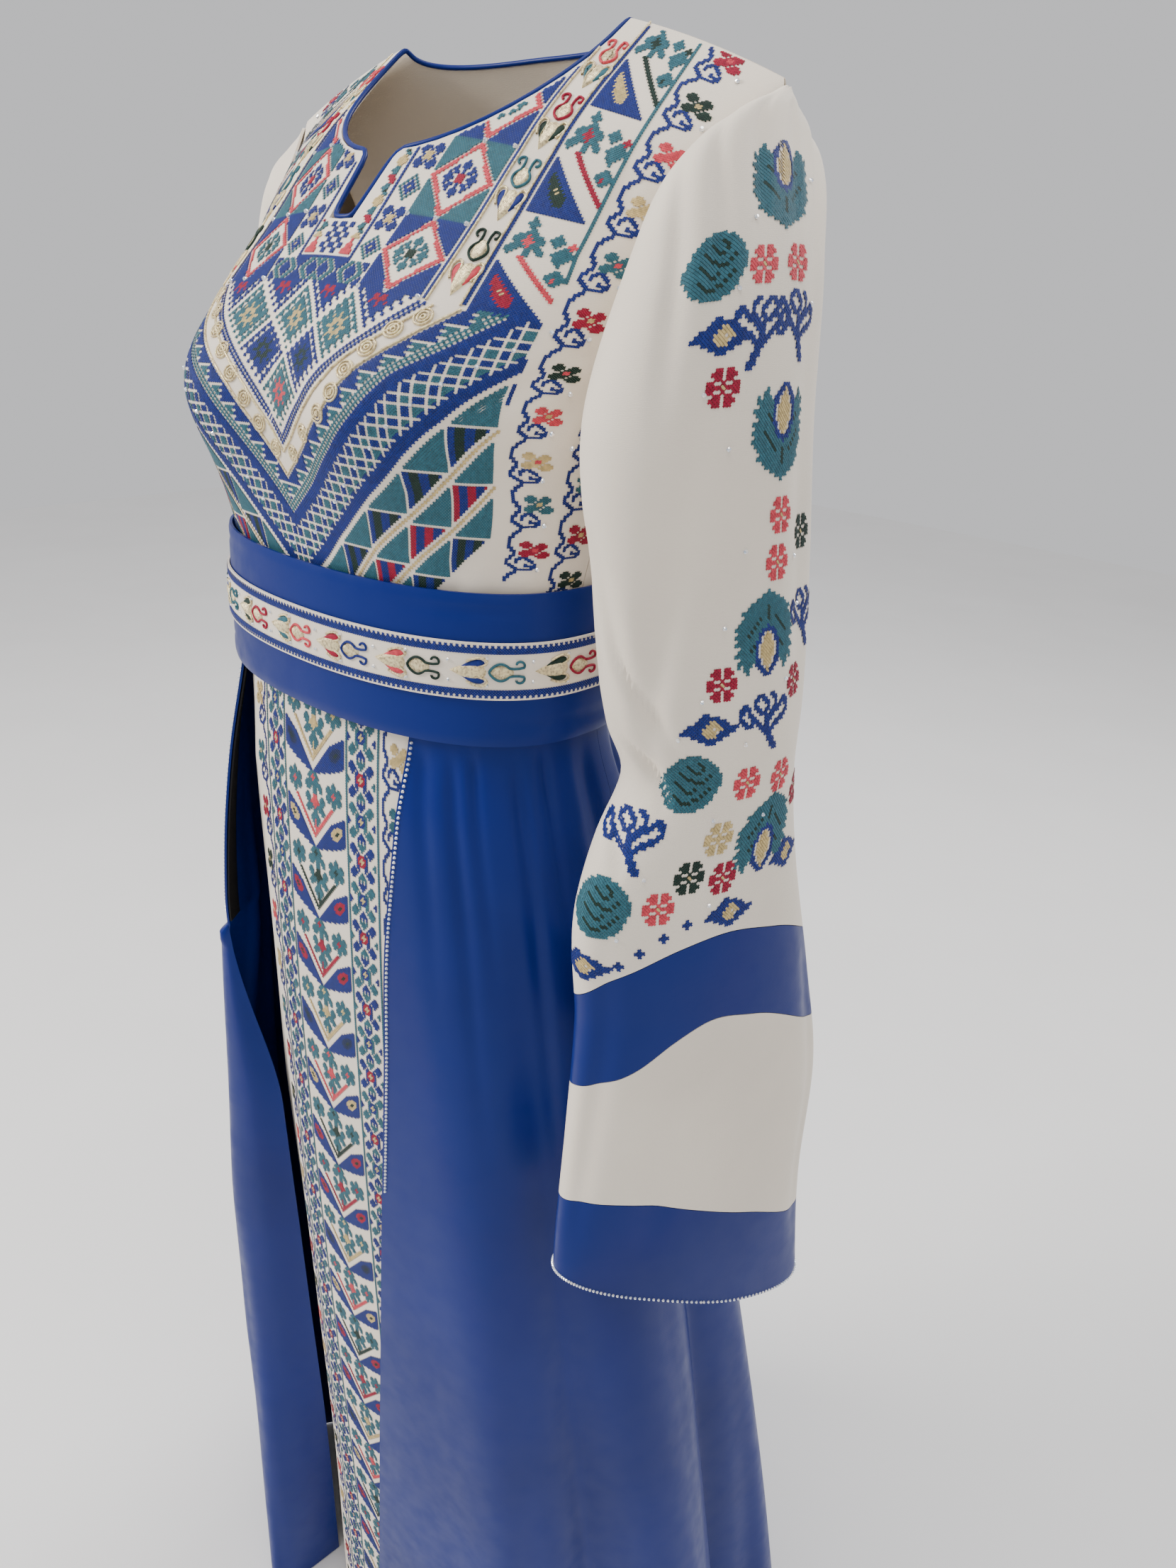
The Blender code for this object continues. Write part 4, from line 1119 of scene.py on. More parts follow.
def make_belt():
    """Wide satin sash and the cream band laid on it."""
    a = np.radians(np.arange(0, 360, 1.5))
    z = np.linspace(-0.3075, -0.4020, 28)[:, None] + 0 * a
    ring = a + 0 * z
    n = sash_normals(ring, z)
    depth = np.zeros_like(z)
    for a0, z0, a1, z1, width, deep in BELT_CREASES:
        for shift in (0, 360):
            s = (np.degrees(ring) - shift - a0) / (a1 - a0)
            line = z0 + (z1 - z0) * s
            fade = np.sin(np.pi * np.clip(s, 0, 1)) ** 0.8
            depth += deep * fade * np.exp(-((z - line) / width) ** 2)
    edge = np.minimum(z + 0.4020, -0.3075 - z)
    roll = 0.0009 * np.exp(-(edge / 0.0022) ** 2)
    middle = sash(ring, z) - n * (depth + roll)[..., None]
    piece = cloth_grid("belt_cloth", middle, n, material("blue_satin_cloth"),
                       closed=True)
    finish_cloth(piece, ["belt"])
    z = np.linspace(BRAID_TOP, BRAID_FOOT, 8)[:, None] + 0 * a
    ring = a + 0 * z
    n = sash_normals(ring, z)
    piece = cloth_grid("belt_band_cloth", sash(ring, z) + n * 0.0023, n,
                       material("cream_crepe_cloth"), closed=True,
                       thickness=TRIM)
    finish_cloth(piece, ["belt_band"])


def skirt_sheet(name, a, z, shift, mat, push=None):
    """Fine cloth over the skirt surface."""
    n = skirt_normals(a, z)
    middle = skirt(a, z) + n * (np.asarray(shift) - skirt_depth(a, z)
                                * (name != "skirt_front_panel_cloth")
                                )[..., None]
    if push is not None:
        middle = middle + push
    return cloth_grid(name, middle, n, mat)


def skirt_levels(rows=150):
    return np.linspace(SKIRT_TOP, HEM_Z, rows)[:, None]


def panel_start(z):
    """Angle of the front panel's hidden edge, and how far it has rolled."""
    low = ease((ROLL_START - z) / ROLL_LENGTH)
    return column(PANEL_EDGE, 1, z, sign=-1.0) - 9 * low, low


def panel_place(a, z):
    """Front panel: points of its middle surface and their normals."""
    start, low = panel_start(z)
    turn = np.clip((np.radians(start + 6) - a) / np.radians(6), 0, 1)
    drop = ease((-0.41 - z) / 0.15) * (1 - 0.8 * low)
    way = np.array([-0.2, 1.0, 0.0])
    n = skirt_normals(a, z)
    push = (0.020 * drop * turn**2)[..., None] * way
    return skirt(a, z) + n * UNDER_LAYER + push, n


def make_skirt():
    """Cream panel and the blue overskirt with its two flaps."""
    cream, blue = material("cream_crepe_cloth"), material("blue_satin_cloth")
    z = skirt_levels()
    edge = column(LEFT_EDGE, 1, z, sign=-1.0)
    start, _ = panel_start(z)
    f = np.linspace(0, 1, 48)[None]
    a = np.radians(start * (1 - f) + (edge + PANEL_UNDERLAP) * f)
    middle, n = panel_place(a, z + 0 * a)
    piece = cloth_grid("skirt_front_panel_cloth", middle, n, cream)
    finish_cloth(piece, ["skirt_front_panel"])
    f = np.linspace(0, 1, 110)[None]
    a = np.radians(edge * (1 - f) + (SIDE_SEAM - 0.07) * f)
    piece = skirt_sheet("skirt_left_cloth", a, z + 0 * a,
                        over_layer(z + 0 * a), blue)
    finish_cloth(piece, ["skirt_left"])
    a = np.radians(np.linspace(SIDE_SEAM + 0.07, 359.93 - SIDE_SEAM, 250))[None]
    piece = skirt_sheet("skirt_back_cloth", a + 0 * z, z + 0 * a,
                        over_layer(z + 0 * a), blue)
    finish_cloth(piece, ["skirt_back"])
    u = np.linspace(0, 1, 110)[None] + 0 * z
    levels = z + 0 * u
    flap = right_flap(u, levels)
    n = flap_normals(u, levels)
    n[:, -1] = skirt_normals(-np.radians(SIDE_SEAM - 0.1) + 0 * levels[:, -1],
                             levels[:, -1])
    depth = flap_depth(u, levels)
    piece = cloth_grid("skirt_right_cloth", flap - n * depth[..., None], n,
                       blue)
    finish_cloth(piece, ["skirt_right"])
    # Near-black sheet just inside the right flap's upper edge: painted shade where the
    # flap's inside lies in shadow.
    rows = np.linspace(-0.403, -0.63, 40)[:, None]
    u = np.linspace(0, 0.1, 8)[None] + 0 * rows
    levels = rows + 0 * u
    n = flap_normals(u, levels)
    piece = cloth_grid("flap_painted_shade_cloth",
                       right_flap(u, levels)
                       - n * (0.0024 + flap_depth(u, levels))[..., None], n,
                       material("painted_shade_cloth"), thickness=0.0012)
    finish_cloth(piece, ["flap_facing"])


FLAP_FOLDS = [
    (0.34, 0.30, -0.44, -1.50, 0.045, 0.0060),
    (0.50, 0.47, -0.60, -1.50, 0.035, 0.0070),
    (0.66, 0.68, -0.42, -1.10, 0.030, 0.0050),
    (0.76, 0.80, -0.80, -1.50, 0.040, 0.0080),
    (0.88, 0.90, -0.42, -0.90, 0.025, 0.0040),
    (0.24, 0.17, -0.90, -1.50, 0.035, 0.0050),
]


def flap_depth(u, z):
    """Depth of the long folds of the right flap."""
    depth = np.zeros(np.broadcast(u, z).shape)
    for u0, u1, top, foot, width, deep in FLAP_FOLDS:
        s = np.clip((top - z) / (top - foot), 0, 1)
        fade = np.sin(np.pi * s) if foot > -1.49 else ease(s * 3)
        away = (u - (u0 + (u1 - u0) * s)) / width
        depth = depth + deep * fade * np.exp(-away ** 2)
    ends = np.clip((u - 0.08) / 0.08, 0, 1) * np.clip((1 - u) / 0.05, 0, 1)
    return depth * ends


def picture(text):
    """Array of thread numbers from a small drawn chart."""
    rows = text.split()
    wide = max(len(r) for r in rows)
    return np.array([[CODES[c] for c in r.ljust(wide, ".")] for r in rows])


def recolour(art, **swap):
    """Copy of a chart with some threads changed for others."""
    new = art.copy()
    for old, fresh in swap.items():
        new[art == CODES[old]] = CODES[fresh]
    return new


def stamp(grid, art, row, col, flip=False):
    """Work a small chart into a large one, leaving its blanks alone."""
    art = art[:, ::-1] if flip else art
    r0, c0 = max(row, 0), max(col, 0)
    r1 = min(row + art.shape[0], grid.shape[0])
    c1 = min(col + art.shape[1], grid.shape[1])
    if r0 >= r1 or c0 >= c1:
        return
    part = art[r0 - row:r1 - row, c0 - col:c1 - col]
    view = grid[r0:r1, c0:c1]
    view[part > 0] = part[part > 0]


FLOWER = picture("""
......B......
.....BBB.....
...B.BBB.B...
..BB..B..BB..
.B.BB.B.BB.B.
.BB..GGG..BB.
BBBB.GGG.BBBB
.BB..GGG..BB.
.B.BB.B.BB.B.
..BB..B..BB..
...B.BBB.B...
.....BBB.....
......B......
""")
LATTICE_FLOWER = picture("""
....T....
...T.T...
..T.B.T..
.T.BBB.T.
T.BBYBB.T
.T.BBB.T.
..T.B.T..
...T.T...
....T....
""")
LOBES = picture("""
.BB...BB.
BBBB.BBBB
BBB.B.BBB
.B.YYY.B.
..BYYYB..
.B.YYY.B.
BBB.B.BBB
BBBB.BBBB
.BB...BB.
""")
INNER_STRIP = picture("""
RRR..
.RRR.
..RR.
.TT..
TTT..
.TG..
..TT.
.YY..
YYYY.
YYYY.
.YY..
.TT..
TTT..
.TT..
""")
STAR = picture("""
....Y....
.Y..Y..Y.
..YYYYY..
..YY.YY..
YYY...YYY
..YY.YY..
..YYYYY..
.Y..Y..Y.
....Y....
""")
LEAF_CORNER = picture("""
.....TT.......T......
....TTTT.....TTT.....
..TTTKTTTT..TTTTT..K.
.TTTTKKTTTT..TTT..KKK
.TTTKKKKTTT...T..TTK.
..TTTKKTTT......TTTT.
.TTTTTKTTTT....TTTTTT
TTTT..TT.TTT..TTTTTTT
TTT...TT..TT...TTTTT.
.T....TT.......TTTT..
.....KK.........TT...
......KK.........T...
.......KK............
B.......KK.......TT..
BB.......KK.....TTTT.
BBB.......KK...TTTTTT
BBBB.......KK..TTKTTT
BBBBB.......KK..TKTT.
BBRBBB.......KK..TT..
BBRRBBB.......KK.....
BBRRRBBB.......KK....
BBRRRRBBB.......KK...
BBBRRRRBBB.......KK..
BBBRRYRRBBB.......KK.
BBBBRRYRRBBB.......KK
BBBBRRRRRRBBB.......K
BBBBBRRRRRBBBB.......
BBBBBBRRRRBBBBB......
BBBBBBBRRRBBBBBB.....
BBBBBBBBBBBBBBBBB....
BBBBBBBBBBBBBBBBBB...
BBBBBBBBBBBBBBBBBBB..
.....................
....T................
....TT...............
...TTTT..............
....TT...............
""")
VINE = picture("""
.B....KK.........
.B...KKKK..KK....
.B...KKKK.KKKK...
.BB...KK.KKKKK...
..B.....KYYKK....
..BB..KKKYYK.....
...B.KKKKKK.KK...
...B.KKKKK.KKKK..
..BB..KK..KKKKK..
..B..BBB...KKK...
.BB.BB.BB........
.B..B...BB.......
.B..B....B.......
.BB....B..B......
..BB...BBBB......
...BB....BB......
....BBBBBB.......
....B............
...BB............
..BB.............
..B..............
.BB..............
.B...............
.B...............
""")
FLORETS = "RGKYTRGKYTR"
HALF_COLS = 112           # stitches from the centre front to the chart's side
ABOVE, BELOW = 110, 118   # rows over and under the yoke's straight line


def bodice_chart():
    """Cross stitch chart of the wearer's left half, mirrored at the end."""
    grid = np.zeros((ABOVE + BELOW, HALF_COLS + 1), int)
    zero = ABOVE
    rows, cols = np.indices(grid.shape)
    v, u = rows - zero, cols
    yoke = v < 0

    # Tall cells of flowers beside the neck.
    step = (-v - 1) // 27
    cell = yoke & (u >= 25) & (u <= 48) & (step < 4)
    cx, cy = 36.5, -(step * 27 + 14)
    reach = np.abs(u - cx) / 12.5 + np.abs(v - cy) / 13.8
    ground = np.where(step % 2 == 0, CODES["B"], CODES["T"])
    grid[cell & (reach > 1.0)] = ground[cell & (reach > 1.0)]
    grid[cell & (reach > 0.80) & (reach < 0.93)] = CODES["K"]
    grid[cell & ((v - cy == -13) | (u == 25) | (u == 48))
         & (np.abs(v - cy) > 13)] = 0
    for k in range(4):
        art = recolour(FLOWER, B="T") if k % 2 == 0 else \
            recolour(FLOWER, G="R")
        stamp(grid, art, zero - (k * 27 + 14) - 6, 30)
    grid[yoke & (u == 50)] = CODES["B"]
    grid[yoke & (u == 62)] = CODES["B"]

    # Narrow column of small flowers, and the strip along the notch.
    for k in range(10):
        top = zero - 9 - 11 * (k + 1)
        art = LATTICE_FLOWER if k % 2 == 0 else LOBES
        stamp(grid, art, top + 2, 15)
    for k in range(8):
        stamp(grid, INNER_STRIP, zero - 11 - 14 * (k + 1), 8)
    grid[yoke & (u == 13) & (v < -8)] = CODES["B"]
    grid[(v == -9) & (u <= 13)] = CODES["B"]
    check = (v >= -22) & (v <= -11) & (u <= 5)
    grid[check & ((rows // 2 + cols // 2) % 2 == 0)] = CODES["B"]
    wedge = (v >= -16) & (v <= -11) & (u >= 6) & (u <= 11)
    grid[wedge] = 0
    grid[wedge & (v + 16 >= np.abs(u - 9) * 2)] = CODES["K"]

    # Border of small diamonds over the straight line.
    foot = yoke & (v >= -8) & (u <= 23)
    grid[foot] = 0
    across = (u + 4) % 14 - 7
    ring = np.abs(across) + np.abs(v + 4.5)
    grid[foot & (np.abs(ring - 5) < 0.9)] = CODES["T"]
    grid[foot & (ring < 3)] = CODES["B"]
    grid[foot & (ring > 7.4)] = CODES["B"]

    # Band of leaf corners down the shoulder.
    accents = [("K", "R"), ("R", "G"), ("G", "Y"), ("K", "R")]
    for k in range(4):
        centre, accent = accents[k % 4]
        art = recolour(LEAF_CORNER, K=centre, R=accent)
        stamp(grid, art, zero - 30 - 37 * k, 64)
    grid[yoke & (u == 85)] = CODES["T"]
    grid[yoke & (u == 63)] = 0

    # Field of stars inside the first pointed band.
    d = u + v
    field = (v >= 0) & (d < 48)
    best = np.full(grid.shape, 99)
    tone = np.zeros(grid.shape, int)
    kind = np.zeros(grid.shape, int)
    for ci in range(-1, 5):
        for cj in range(0, 5):
            if (ci + cj) % 2 == 1:
                m = np.abs(u - 12 * ci) + np.abs(v - 12 * cj)
                near = m < best
                best = np.where(near, m, best)
                colour = CODES["B"] if cj % 2 == 0 else CODES["T"]
                tone = np.where(near, colour, tone)
                kind = np.where(near, cj, kind)
    step_edge = (best >= 8) & (((u // 2) + (v // 2)) % 2 == 0)
    fill = field & (best < 11) & ~step_edge
    grid[fill] = tone[fill]
    grid[field & (best >= 8) & (best < 10) & step_edge] = 0
    for ci in range(-1, 5):
        for cj in range(0, 4):
            if (ci + cj) % 2 == 1 and 12 * (ci + cj) < 48:
                swap = {0: "R", 1: "Y", 2: "G", 3: "K"}[cj]
                top, left = zero + 12 * cj - 4, 12 * ci - 4
                view = np.zeros_like(grid)
                stamp(view, recolour(STAR, Y=swap), top, left)
                if left < 0:
                    view = np.zeros_like(grid)
                    part = recolour(STAR, Y=swap)[:, -left:]
                    stamp(view, part, top, 0)
                spot = (view > 0) & (v >= 1)
                grid[spot] = view[spot]

    # Pointed bands, one inside the other.
    low = v >= 1
    grid[low & ((d == 50) | (d == 52) | (d == 65))] = CODES["B"]
    grid[low & ((d == 73) | (d == 75))] = CODES["T"]
    e = ((u - v) // 2) % 6
    tooth = np.abs(e - 3) * 2
    zig = low & (d >= 66) & (d < 72)
    grid[zig & (d - 66 < tooth)] = CODES["B"]
    grid[zig & (d - 66 > tooth + 1)] = CODES["T"]
    grid[low & (((d >= 77) & (d < 82)) | ((d >= 98) & (d < 103)))] = CODES["B"]
    tile_r, tile_c = (v - 1) % 7, u % 7
    lattice = low & (d >= 82) & (d < 98)
    on = (tile_r > 0) & (tile_c > 0) & (tile_r != 3) & (tile_c != 3)
    square = np.where((tile_r > 3) == (tile_c > 3), CODES["T"], CODES["B"])
    grid[lattice & on] = square[lattice & on]
    edge = lattice & ((d < 85) | (d > 95))
    grid[edge & on] = CODES["B"]
    grid[low & (d == 121)] = CODES["Y"]
    grid[low & (d == 139)] = CODES["Y"]
    for first, pair in ((105, "BG"), (123, "RB"), (141, "BG")):
        band = low & (d >= first) & (d < first + 15)
        seam = ((u - 53) // 15) * 15 + 53
        turn = first - seam
        upper = band & (v < turn) & (u > seam)
        grid[upper] = CODES["T"]
        under = band & (v > turn) & (u > seam)
        stripe = np.where(((u - seam) // 3) % 2 == 0, CODES[pair[0]],
                          CODES[pair[1]])
        grid[under] = stripe[under]
        grid[band & ((d == first) | (d == first + 14))] = 0
    grid[v >= BELOW - 2] = 0
    return np.concatenate([grid[:, :0:-1], grid], 1)


YOKE_ROWS = [(-200, -2), (-150, 57), (-100, 119), (-50, 174), (0, 222.5),
             (22, 246), (45, 267), (67, 288.5), (100, 320), (150, 368),
             (200, 416)]
DRIFT_COLS = (-190, -100, -50, 0, 25, 50, 75, 100, 125, 156, 190)
DRIFT = [      # sideways shift of the chart in mm, row by row
    (-200, (-2, 4, 4, 4, 3, 2, 0, -1, -4, -8, -10)),
    (-148, (0, 4, 4, 4, 4, 3, 1, 0, -2, -5, -7)),
    (-100, (2, 5, 5, 5, 5, 5, 4, 3, 1, -2, -3)),
    (-45, (4, 5, 5, 5, 5, 5, 4, 3, 2, 1, 2)),
    (0, (5, 5, 4, 3, 4, 4, 4, 4, 5, 9, 12)),
    (45, (7, 8, 8, 7, 8, 11, 8, 5, 9, 14, 15)),
    (67, (9, 12, 12, 11, 15, 17, 13, 10, 13, 14, 14)),
    (90, (9, 12, 11, 12, 16, 16, 14, 11, 12, 9, 8)),
    (110, (7, 9, 9, 9, 13, 13, 10, 10, 8, 3, 2)),
    (150, (4, 5, 5, 5, 8, 6, 2, 0, -3, -10, -12)),
    (200, (2, 3, 3, 3, 5, 4, -2, -6, -10, -16, -20)),
]


def eased(u, v):
    """Place of the chart on the flat bodice, in metres from its corner."""
    u, v = np.broadcast_arrays(u * 1000.0, v * 1000.0)
    y = between(YOKE_ROWS, v)
    shift = np.stack([np.interp(u, DRIFT_COLS, r[1]) for r in DRIFT], 0)
    k = np.interp(v, [r[0] for r in DRIFT], np.arange(len(DRIFT)))
    i = np.minimum(k.astype(int), len(DRIFT) - 2)
    f = k - i
    low = np.take_along_axis(shift, i[None], 0)[0]
    high = np.take_along_axis(shift, i[None] + 1, 0)[0]
    return (u + low * (1 - f) + high * f) / 1000.0, y / 1000.0


def bodice_flat():
    a = np.radians(np.linspace(-112, 112, 300))
    h = np.linspace(1.0, 0.0, 220)
    return unroll(torso, a, h)


def stitches(name, cells, place):
    """Cross stitches as two crossing raised bars each.

    cells holds column, row and thread; place turns columns and rows into
    points of the cloth's outer face and their normals.
    """
    cells, mats = np.asarray(cells), thread_mats()
    lift = bpy.context.scene.dress_sizes.stitch_height
    col, row, thread = cells[:, 0], cells[:, 1], cells[:, 2].astype(int)
    reach, half = 0.49, 0.29
    corners = []
    for sx in (1, -1):
        a = np.array([-reach * sx, -reach])
        b = np.array([reach * sx, reach])
        side = np.array([-(b - a)[1], (b - a)[0]])
        side = side / np.linalg.norm(side) * half
        corners += [a - side, b - side, b + side, a + side]
    corners = np.array(corners)
    c = col[:, None] + corners[None, :, 0]
    r = row[:, None] + corners[None, :, 1]
    points, out = place(c, r)
    rise = np.array([0.45, 0.45, 0.45, 0.45, 1, 1, 1, 1]) * lift
    points = points + out * rise[None, :, None]
    base = 8 * np.arange(len(cells))[:, None]
    first = np.array([[0, 1, 2, 3]]) + base
    second = np.array([[4, 5, 6, 7]]) + base
    faces = np.concatenate([first, second])
    p = points.reshape(-1, 3)
    turn = np.cross(p[faces[:, 1]] - p[faces[:, 0]],
                    p[faces[:, 2]] - p[faces[:, 0]])
    wrong = (turn * out.reshape(-1, 3)[faces[:, 0]]).sum(1) < 0
    faces[wrong] = faces[wrong][:, ::-1]
    used = sorted(set(thread))
    slots = {t: k for k, t in enumerate(used)}
    index = np.array([slots[t] for t in np.concatenate([thread, thread])])
    work = solid_mesh(name, p, faces, [mats[t - 1] for t in used], index)
    return extra(work)


def thread_mats():
    return [material(name) for name in THREAD_ORDER]


def on_bodice(flat, x, y):
    """Outer face of the bodice cloth and its normals at flat places."""
    a, h = locate(flat, x, y)
    n = torso_normals(a, h)
    return body_cloth(a, h) + n * WALL / 2, n


BELT_LEVEL = 0.125        # stitching stops here, under the belt's top edge


def on_front(flat, x, y, front, margin, floor):
    """Which flat places lie on the bodice front, clear of its edges."""
    a, h = locate(flat, x, y)
    spot = np.stack([a * ACROSS, h * ALONG], -1)
    return (inside(spot, front) & (edge_distance(spot, front) > margin)
            & (h > floor))


def stitch_bodice():
    """Cross stitch, couched cord and crystals of the bodice front."""
    flat = bodice_flat()
    grid = bodice_chart()
    rows, cols = np.nonzero(grid)
    u, v = (cols - HALF_COLS) * PITCH, (rows - ABOVE) * PITCH
    x, y = eased(u, v)
    front = [(np.radians(p) * ACROSS, q * ALONG)
             for p, q in bodice_outlines()[0]]
    keep = on_front(flat, x, y, front, 0.0022, BELT_LEVEL)
    keep &= np.abs(x) < chart_edge(y)
    cells = np.stack([cols, rows, grid[rows, cols]], 1)[keep]

    def place(c, r):
        px, py = eased((c - HALF_COLS) * PITCH, (r - ABOVE) * PITCH)
        return on_bodice(flat, px, py)

    stitches("bodice_cross_stitch", cells, place)
    vines = vine_cells()
    for side, word in ((1, "left"), (-1, "right")):
        def along(c, r, side=side):
            px, py = vine_place(c, r)
            return on_bodice(flat, side * px, py)

        x, y = vine_place(vines[:, 0], vines[:, 1])
        ok = on_front(flat, x, y, front, 0.002, BELT_LEVEL)
        stitches("bodice_%s_vine" % word, vines[ok], along)
    couch_bodice(flat, front)


CHART_EDGE = [(0, 162), (220, 162), (240, 168), (270, 170), (290, 168),
              (310, 162), (330, 158), (350, 150), (375, 142), (440, 130)]


def chart_edge(y):
    return between(CHART_EDGE, y * 1000) / 1000


VINE_LINE = [(0, 153), (40, 151), (80, 155), (120, 157), (160, 160),
             (200, 163), (240, 171), (270, 175), (290, 174), (310, 167),
             (330, 163), (350, 156), (375, 148), (420, 140)]
VINE_ROWS = [(0, 0), (24, 43), (48, 87), (72, 130), (96, 172), (120, 213),
             (144, 250), (168, 277), (192, 303), (216, 327), (240, 355),
             (264, 380), (288, 404)]


SIDE_VINE_LINE = [(282, 214), (300, 208), (320, 199), (340, 190), (360, 182),
                  (380, 174), (410, 166)]


def vine_place(c, r):
    """Places of the vine; rows from 290 on are the short one by the side."""
    second = np.asarray(r) >= 290
    row = np.where(second, (np.asarray(r) - 290) * 1.12 + 172, r)
    y = between(VINE_ROWS, row)
    x = np.where(second, between(SIDE_VINE_LINE, y), between(VINE_LINE, y))
    return (x + 2.5 + c * PITCH * 1000) / 1000.0, y / 1000.0


def vine_cells():
    cells = []
    for k in range(11):
        art = recolour(VINE, K=FLORETS[k], Y="Y" if k % 2 else "K")
        rows, cols = np.nonzero(art)
        cells.append(np.stack([cols, rows + 24 * k, art[rows, cols]], 1))
    for k in range(4):
        art = recolour(VINE, K="GTRG"[k])
        rows, cols = np.nonzero(art)
        cells.append(np.stack([cols, rows + 24 * k + 296, art[rows, cols]], 1))
    return np.concatenate(cells)


def mounds(name, outlines, place, mats, index):
    """Low domes over closed outlines, as raised satin or couched fillings.

    outlines holds (points, height); points are flat places in metres.
    """
    points, faces, slots = [], [], []
    count = 0
    for (line, height), slot in zip(outlines, index):
        line = np.asarray(line, float)
        n = len(line)
        middle = line.mean(0)
        rings = []
        for share, rise in ((1.0, -0.0003), (0.86, 0.62), (0.5, 0.95)):
            ring = middle + (line - middle) * share
            p, out = place(ring[:, 0], ring[:, 1])
            rings.append(p + out * (rise * height if rise > 0 else rise))
        p, out = place(middle[None, 0], middle[None, 1])
        points += rings + [p + out * height]
        for k in range(2):
            i = np.arange(n)
            j = (i + 1) % n
            q = count + k * n
            faces.append(np.stack([q + i, q + j, q + n + j], 1))
            faces.append(np.stack([q + i, q + n + j, q + n + i], 1))
        i = np.arange(n)
        top = count + 3 * n
        faces.append(np.stack([count + 2 * n + i, count + 2 * n + (i + 1) % n,
                               np.full(n, top)], 1))
        slots.append(np.full(5 * n, slot))
        count += 3 * n + 1
    points, faces = np.concatenate(points), np.concatenate(faces)
    index = np.concatenate(slots)
    return solid_mesh(name, points, turned_out(points, faces), mats, index)


def turned_out(points, faces):
    """Faces, each turned so that it faces away from the dress's middle."""
    side = np.cross(points[faces[:, 1]] - points[faces[:, 0]],
                    points[faces[:, 2]] - points[faces[:, 0]])
    away = points[faces].mean(1) - np.array([0.0, -0.07, 0.0])
    away[:, 2] = 0.0
    wrong = (side * away).sum(1) < 0
    faces = faces.copy()
    faces[wrong] = faces[wrong][:, ::-1]
    return faces


def cords(name, lines, place, radius, mats, index, sides=5):
    """Round cords laid on the cloth along flat lines."""
    points, faces, slots = [], [], []
    count = 0
    for line, slot in zip(lines, index):
        line = np.asarray(line, float)
        p, out = place(line[:, 0], line[:, 1])
        ahead = unit(np.gradient(p, axis=0))
        across = unit(np.cross(out, ahead))
        turn = 2 * np.pi * np.arange(sides) / sides
        tube = (p[:, None] + out[:, None] * radius * 0.7
                + radius * (np.cos(turn)[None, :, None] * across[:, None]
                            + np.sin(turn)[None, :, None] * out[:, None]))
        rows = len(line)
        points.append(tube.reshape(-1, 3))
        f = grid_faces(rows, sides, closed=True) + count
        faces.append(f)
        slots.append(np.full(len(f), slot))
        count += rows * sides
    obj = solid_mesh(name, np.concatenate(points), np.concatenate(faces),
                     mats, np.concatenate(slots))
    return facing_out(obj)


SMALL_STONE = 0.0022      # widths of the stones: belt and flap edges
CUFF_STONE = 0.0020
SLEEVE_STONE = 0.0026


def crystals(name, spots, place, width):
    """Small cut stones: a flat table, sloping sides and a girdle."""
    spots = np.asarray(spots, float)
    turn = 2 * np.pi * np.arange(8) / 8
    p, out = place(spots[:, 0], spots[:, 1])
    px, _ = place(spots[:, 0] + 0.0005, spots[:, 1])
    ex = unit(px - p)
    ey = unit(np.cross(out, ex))
    rings = []
    for share, rise, spin in ((1.0, 0.0, 0), (1.0, 0.25, 0), (0.55, 0.62, 0.5)):
        way = turn + spin * np.pi / 4
        ring = (p[:, None] + width / 2 * share
                * (np.cos(way)[None, :, None] * ex[:, None]
                   + np.sin(way)[None, :, None] * ey[:, None])
                + out[:, None] * width * rise)
        rings.append(ring)
    points = np.concatenate([*rings, (p + out * width * 0.62)[:, None]], 1)
    n = 8
    i = np.arange(n)
    j = (i + 1) % n
    faces = []
    for k in range(2):
        faces += [np.stack([k * n + i, k * n + j, (k + 1) * n + j], 1),
                  np.stack([k * n + i, (k + 1) * n + j, (k + 1) * n + i], 1)]
    faces.append(np.stack([2 * n + i, 2 * n + j, np.full(n, 3 * n)], 1))
    faces = np.concatenate(faces)
    many = (faces[None] + (25 * np.arange(len(spots)))[:, None, None])
    obj = solid_mesh(name, points.reshape(-1, 3), many.reshape(-1, 3),
                     [material("cut_crystal")])
    mesh = obj.data
    mesh.polygons.foreach_set("use_smooth",
                              np.zeros(len(mesh.polygons), bool))
    return extra(obj)


def drop_line(x, y, long, wide, n=18):
    """Pointed drop with its tip at x, y, opening towards +x."""
    t = np.linspace(0, 2 * np.pi, n, endpoint=False)
    s = (1 - np.cos(t)) / 2
    half = wide / 2 * np.sin(t) * np.sqrt(np.clip(s, 0, 1)) * 1.25
    return np.stack([x + long * s, y + half], 1)


def leaf_line(x, y, long, side, n=16):
    """Half heart beside a drop: pointed behind, round and full in front."""
    t = np.linspace(0, 2 * np.pi, n, endpoint=False)
    s = (1 - np.cos(t)) / 2
    half = 0.0034 * np.sin(t) * (0.35 + 0.75 * s)
    lean = y + side * (0.0012 + 0.0040 * np.sin(s * 1.7))
    return np.stack([x + long * s, lean + half], 1)


